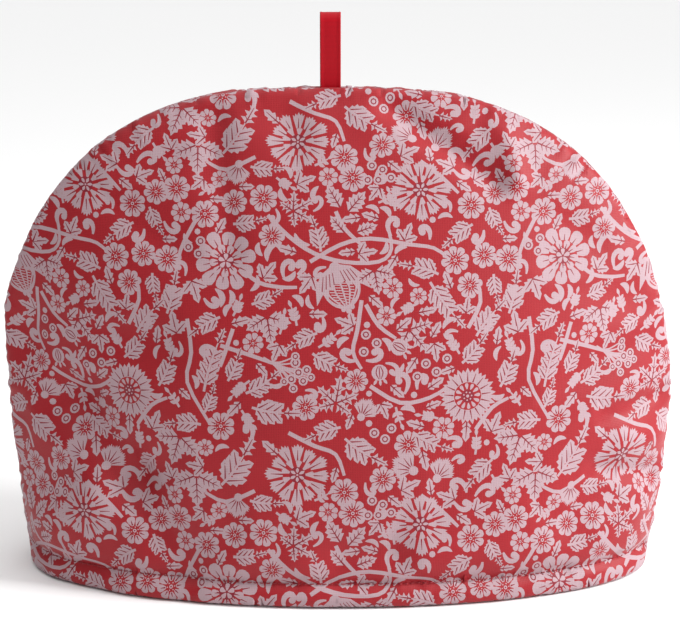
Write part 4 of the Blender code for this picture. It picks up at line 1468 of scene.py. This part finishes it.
def painted_board(colour):
    """Matt painted board for the surface the cosy stands on."""
    material, _, shader = new_material("matt_painted_board")
    shader.inputs["Base Color"].default_value = linear(colour)
    shader.inputs["Roughness"].default_value = 0.9
    return material


# ---- what a user may change -------------------------------------------------------
def colour_property(name, description, value):
    return bpy.props.StringProperty(name=name, description=description, default=value, maxlen=6)


def length_property(name, description, value):
    return bpy.props.FloatProperty(name=name, description=description, default=value, unit="LENGTH")


class CosyCloth(bpy.types.PropertyGroup):
    ground: colour_property("Ground", "Dyed ground of the print, sRGB hex", "9A1620")
    ink: colour_property("Ink", "Pale ink of the print, sRGB hex", "A98F95")
    line: colour_property("Line", "Dark line of the print, sRGB hex", "7C1626")
    thread: colour_property("Thread", "Sewing thread of the hem, sRGB hex", "8E1220")
    inside: colour_property("Inside", "Plain cotton of the inside, sRGB hex", "98222B")


class CosyRibbon(bpy.types.PropertyGroup):
    colour: colour_property("Ribbon", "Colour of the ribbon loop, sRGB hex", "AE0318")


class CosyStage(bpy.types.PropertyGroup):
    distance: length_property("Distance", "Camera to the seam plane", 0.86)
    height: length_property("Height", "Camera above the floor", 0.334)
    width: length_property("Width seen", "Width seen at the seam plane", 0.3375)
    floor: colour_property("Floor", "Colour of the floor, sRGB hex", "F4F4F4")


# name, place, width (m) and power (W) of each light; a small one gives a crisp shadow
LIGHTS = (("window_right", (1.2, -0.34, 0.80), 0.40, 22.0),
          ("soft_front", (0.7, -1.5, 0.8), 1.0, 1.5))
LIT_HEIGHT = 0.12            # what the lights point at, above the floor
AIM_HEIGHT = 0.130           # what the camera points at, above the floor
FILM_WIDTH = 36.0

# name, side, folds, phase and seed of the puckers, shift of the print (mm), part, slot
PANELS = (("padded_front", -1, FRONT_FOLDS, 0.4, 3.1, (-86.0, 73.0), "front_panel", "printed_cotton_front"),
          ("padded_back", 1, BACK_FOLDS, 2.3, 7.7, (-38.0, -60.0), "back_panel", "printed_cotton_back"))


class CosyPanelsOperator(bpy.types.Operator):
    """Sew the front and the back padded panel"""
    bl_idname = "cosy.panels"
    bl_label = "Padded panels"

    def execute(self, context):
        cloth = context.scene.cosy_cloth
        cotton = printed_cotton(cloth.ground, cloth.ink, cloth.line)
        plain = plain_cotton(cloth.inside)
        for name, sign, folds, phase, seed, shift, part, slot in PANELS:
            panel, size, area = sew_panel(name, sign, folds, phase, seed, shift, cotton, plain)
            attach(panel, "root")
            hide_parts(part)
        return {"FINISHED"}


class CosyStitchesOperator(bpy.types.Operator):
    """Stitch the hems of both panels"""
    bl_idname = "cosy.stitches"
    bl_label = "Hem stitches"

    def execute(self, context):
        thread = spun_thread(context.scene.cosy_cloth.thread)
        for name, sign, folds, phase, seed, _, _, slot in PANELS:
            piece = stitch_hem(name.replace("padded", "hem_stitches"), sign, folds, phase, seed, thread)
            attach(piece, "root")
        return {"FINISHED"}


class CosyRibbonOperator(bpy.types.Operator):
    """Fold the ribbon and catch its tails in the seam"""
    bl_idname = "cosy.ribbon"
    bl_label = "Ribbon loop"

    def execute(self, context):
        ribbon, length = weave_ribbon(satin_ribbon(context.scene.cosy_ribbon.colour))
        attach(ribbon, "root")
        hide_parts("hanging_loop")
        return {"FINISHED"}


class CosyStageOperator(bpy.types.Operator):
    """Lay the pale floor and set the lights and the camera"""
    bl_idname = "cosy.stage"
    bl_label = "Floor, lights and camera"

    def execute(self, context):
        stage = context.scene.cosy_stage
        mesh = bpy.data.meshes.new("floor")
        far = 6.0
        corners = [(-far, -far, 0), (far, -far, 0), (far, far, 0), (-far, far, 0)]
        mesh.from_pydata(corners, [], [(0, 1, 2, 3)])
        mesh.materials.append(painted_board(stage.floor))
        floor = bpy.data.objects.new("floor", mesh)
        floor.location.z = -0.4 * MM
        context.scene.collection.objects.link(floor)

        world = bpy.data.worlds.new("white_studio")
        context.scene.world = world
        world.use_nodes = True
        tree = world.node_tree
        tree.nodes.clear()
        # a white room, brightest overhead and on the right, where its windows are
        way = node(tree, "ShaderNodeTexCoord").outputs["Generated"]
        axes = node(tree, "ShaderNodeSeparateXYZ", links={0: way})
        across = node(tree, "ShaderNodeMapRange", values={1: -0.2, 2: 1.0, 3: 0.0, 4: 0.78},
                      links={0: axes.outputs["X"]})
        above = node(tree, "ShaderNodeMapRange", values={1: 0.35, 2: 1.0, 3: 0.0, 4: 1.6},
                     links={0: axes.outputs["Z"]})
        bright = node(tree, "ShaderNodeMath", {"operation": "ADD"},
                      links={0: across.outputs[0], 1: above.outputs[0]})
        background = node(tree, "ShaderNodeBackground", values={"Color": (1.0, 1.0, 1.0, 1.0)},
                          links={"Strength": bright.outputs[0]})
        node(tree, "ShaderNodeOutputWorld", links={"Surface": background.outputs["Background"]})

        for name, place, size, power in LIGHTS:
            light = bpy.data.lights.new(name, "AREA")
            light.size = size
            light.energy = power
            lamp = bpy.data.objects.new(name, light)
            lamp.location = place
            way_in = Vector((0.0, 0.0, LIT_HEIGHT)) - Vector(place)
            lamp.rotation_euler = way_in.to_track_quat("-Z", "Y").to_euler()
            context.scene.collection.objects.link(lamp)

        data = bpy.data.cameras.new("camera")
        camera = bpy.data.objects.new("camera", data)
        camera.location = (0.0, -stage.distance, stage.height)
        aim = Vector((0.0, 0.0, AIM_HEIGHT))
        camera.rotation_euler = (aim - camera.location).to_track_quat("-Z", "Y").to_euler()
        data.sensor_width = FILM_WIDTH
        data.lens = FILM_WIDTH * (aim - camera.location).length / stage.width
        data.clip_start = 0.01
        context.scene.collection.objects.link(camera)
        context.scene.camera = camera
        context.scene.view_settings.view_transform = "Standard"
        return {"FINISHED"}


class CosySidebar(bpy.types.Panel):
    """The steps of the cosy, in the order they are sewn"""
    bl_idname = "VIEW3D_PT_cosy"
    bl_label = "Tea cosy"
    bl_space_type = "VIEW_3D"
    bl_region_type = "UI"
    bl_category = "Tea cosy"

    def draw(self, context):
        for group in (context.scene.cosy_cloth, context.scene.cosy_ribbon, context.scene.cosy_stage):
            box = self.layout.box()
            for name in group.bl_rna.properties.keys():
                if name not in ("rna_type", "name"):
                    box.prop(group, name)
        for step in (CosyPanelsOperator, CosyStitchesOperator, CosyRibbonOperator, CosyStageOperator):
            self.layout.operator(step.bl_idname)


CLASSES = (CosyCloth, CosyRibbon, CosyStage, CosyPanelsOperator, CosyStitchesOperator, CosyRibbonOperator,
           CosyStageOperator, CosySidebar)


def register():
    for made in CLASSES:
        bpy.utils.register_class(made)
    bpy.types.Scene.cosy_cloth = bpy.props.PointerProperty(type=CosyCloth)
    bpy.types.Scene.cosy_ribbon = bpy.props.PointerProperty(type=CosyRibbon)
    bpy.types.Scene.cosy_stage = bpy.props.PointerProperty(type=CosyStage)


def unregister():
    del bpy.types.Scene.cosy_stage
    del bpy.types.Scene.cosy_ribbon
    del bpy.types.Scene.cosy_cloth
    for made in reversed(CLASSES):
        bpy.utils.unregister_class(made)


def main():
    register()
    bpy.ops.cosy.stage()
    bpy.ops.cosy.ribbon()
    bpy.ops.cosy.panels()
    bpy.ops.cosy.stitches()


if __name__ == "__main__":
    main()
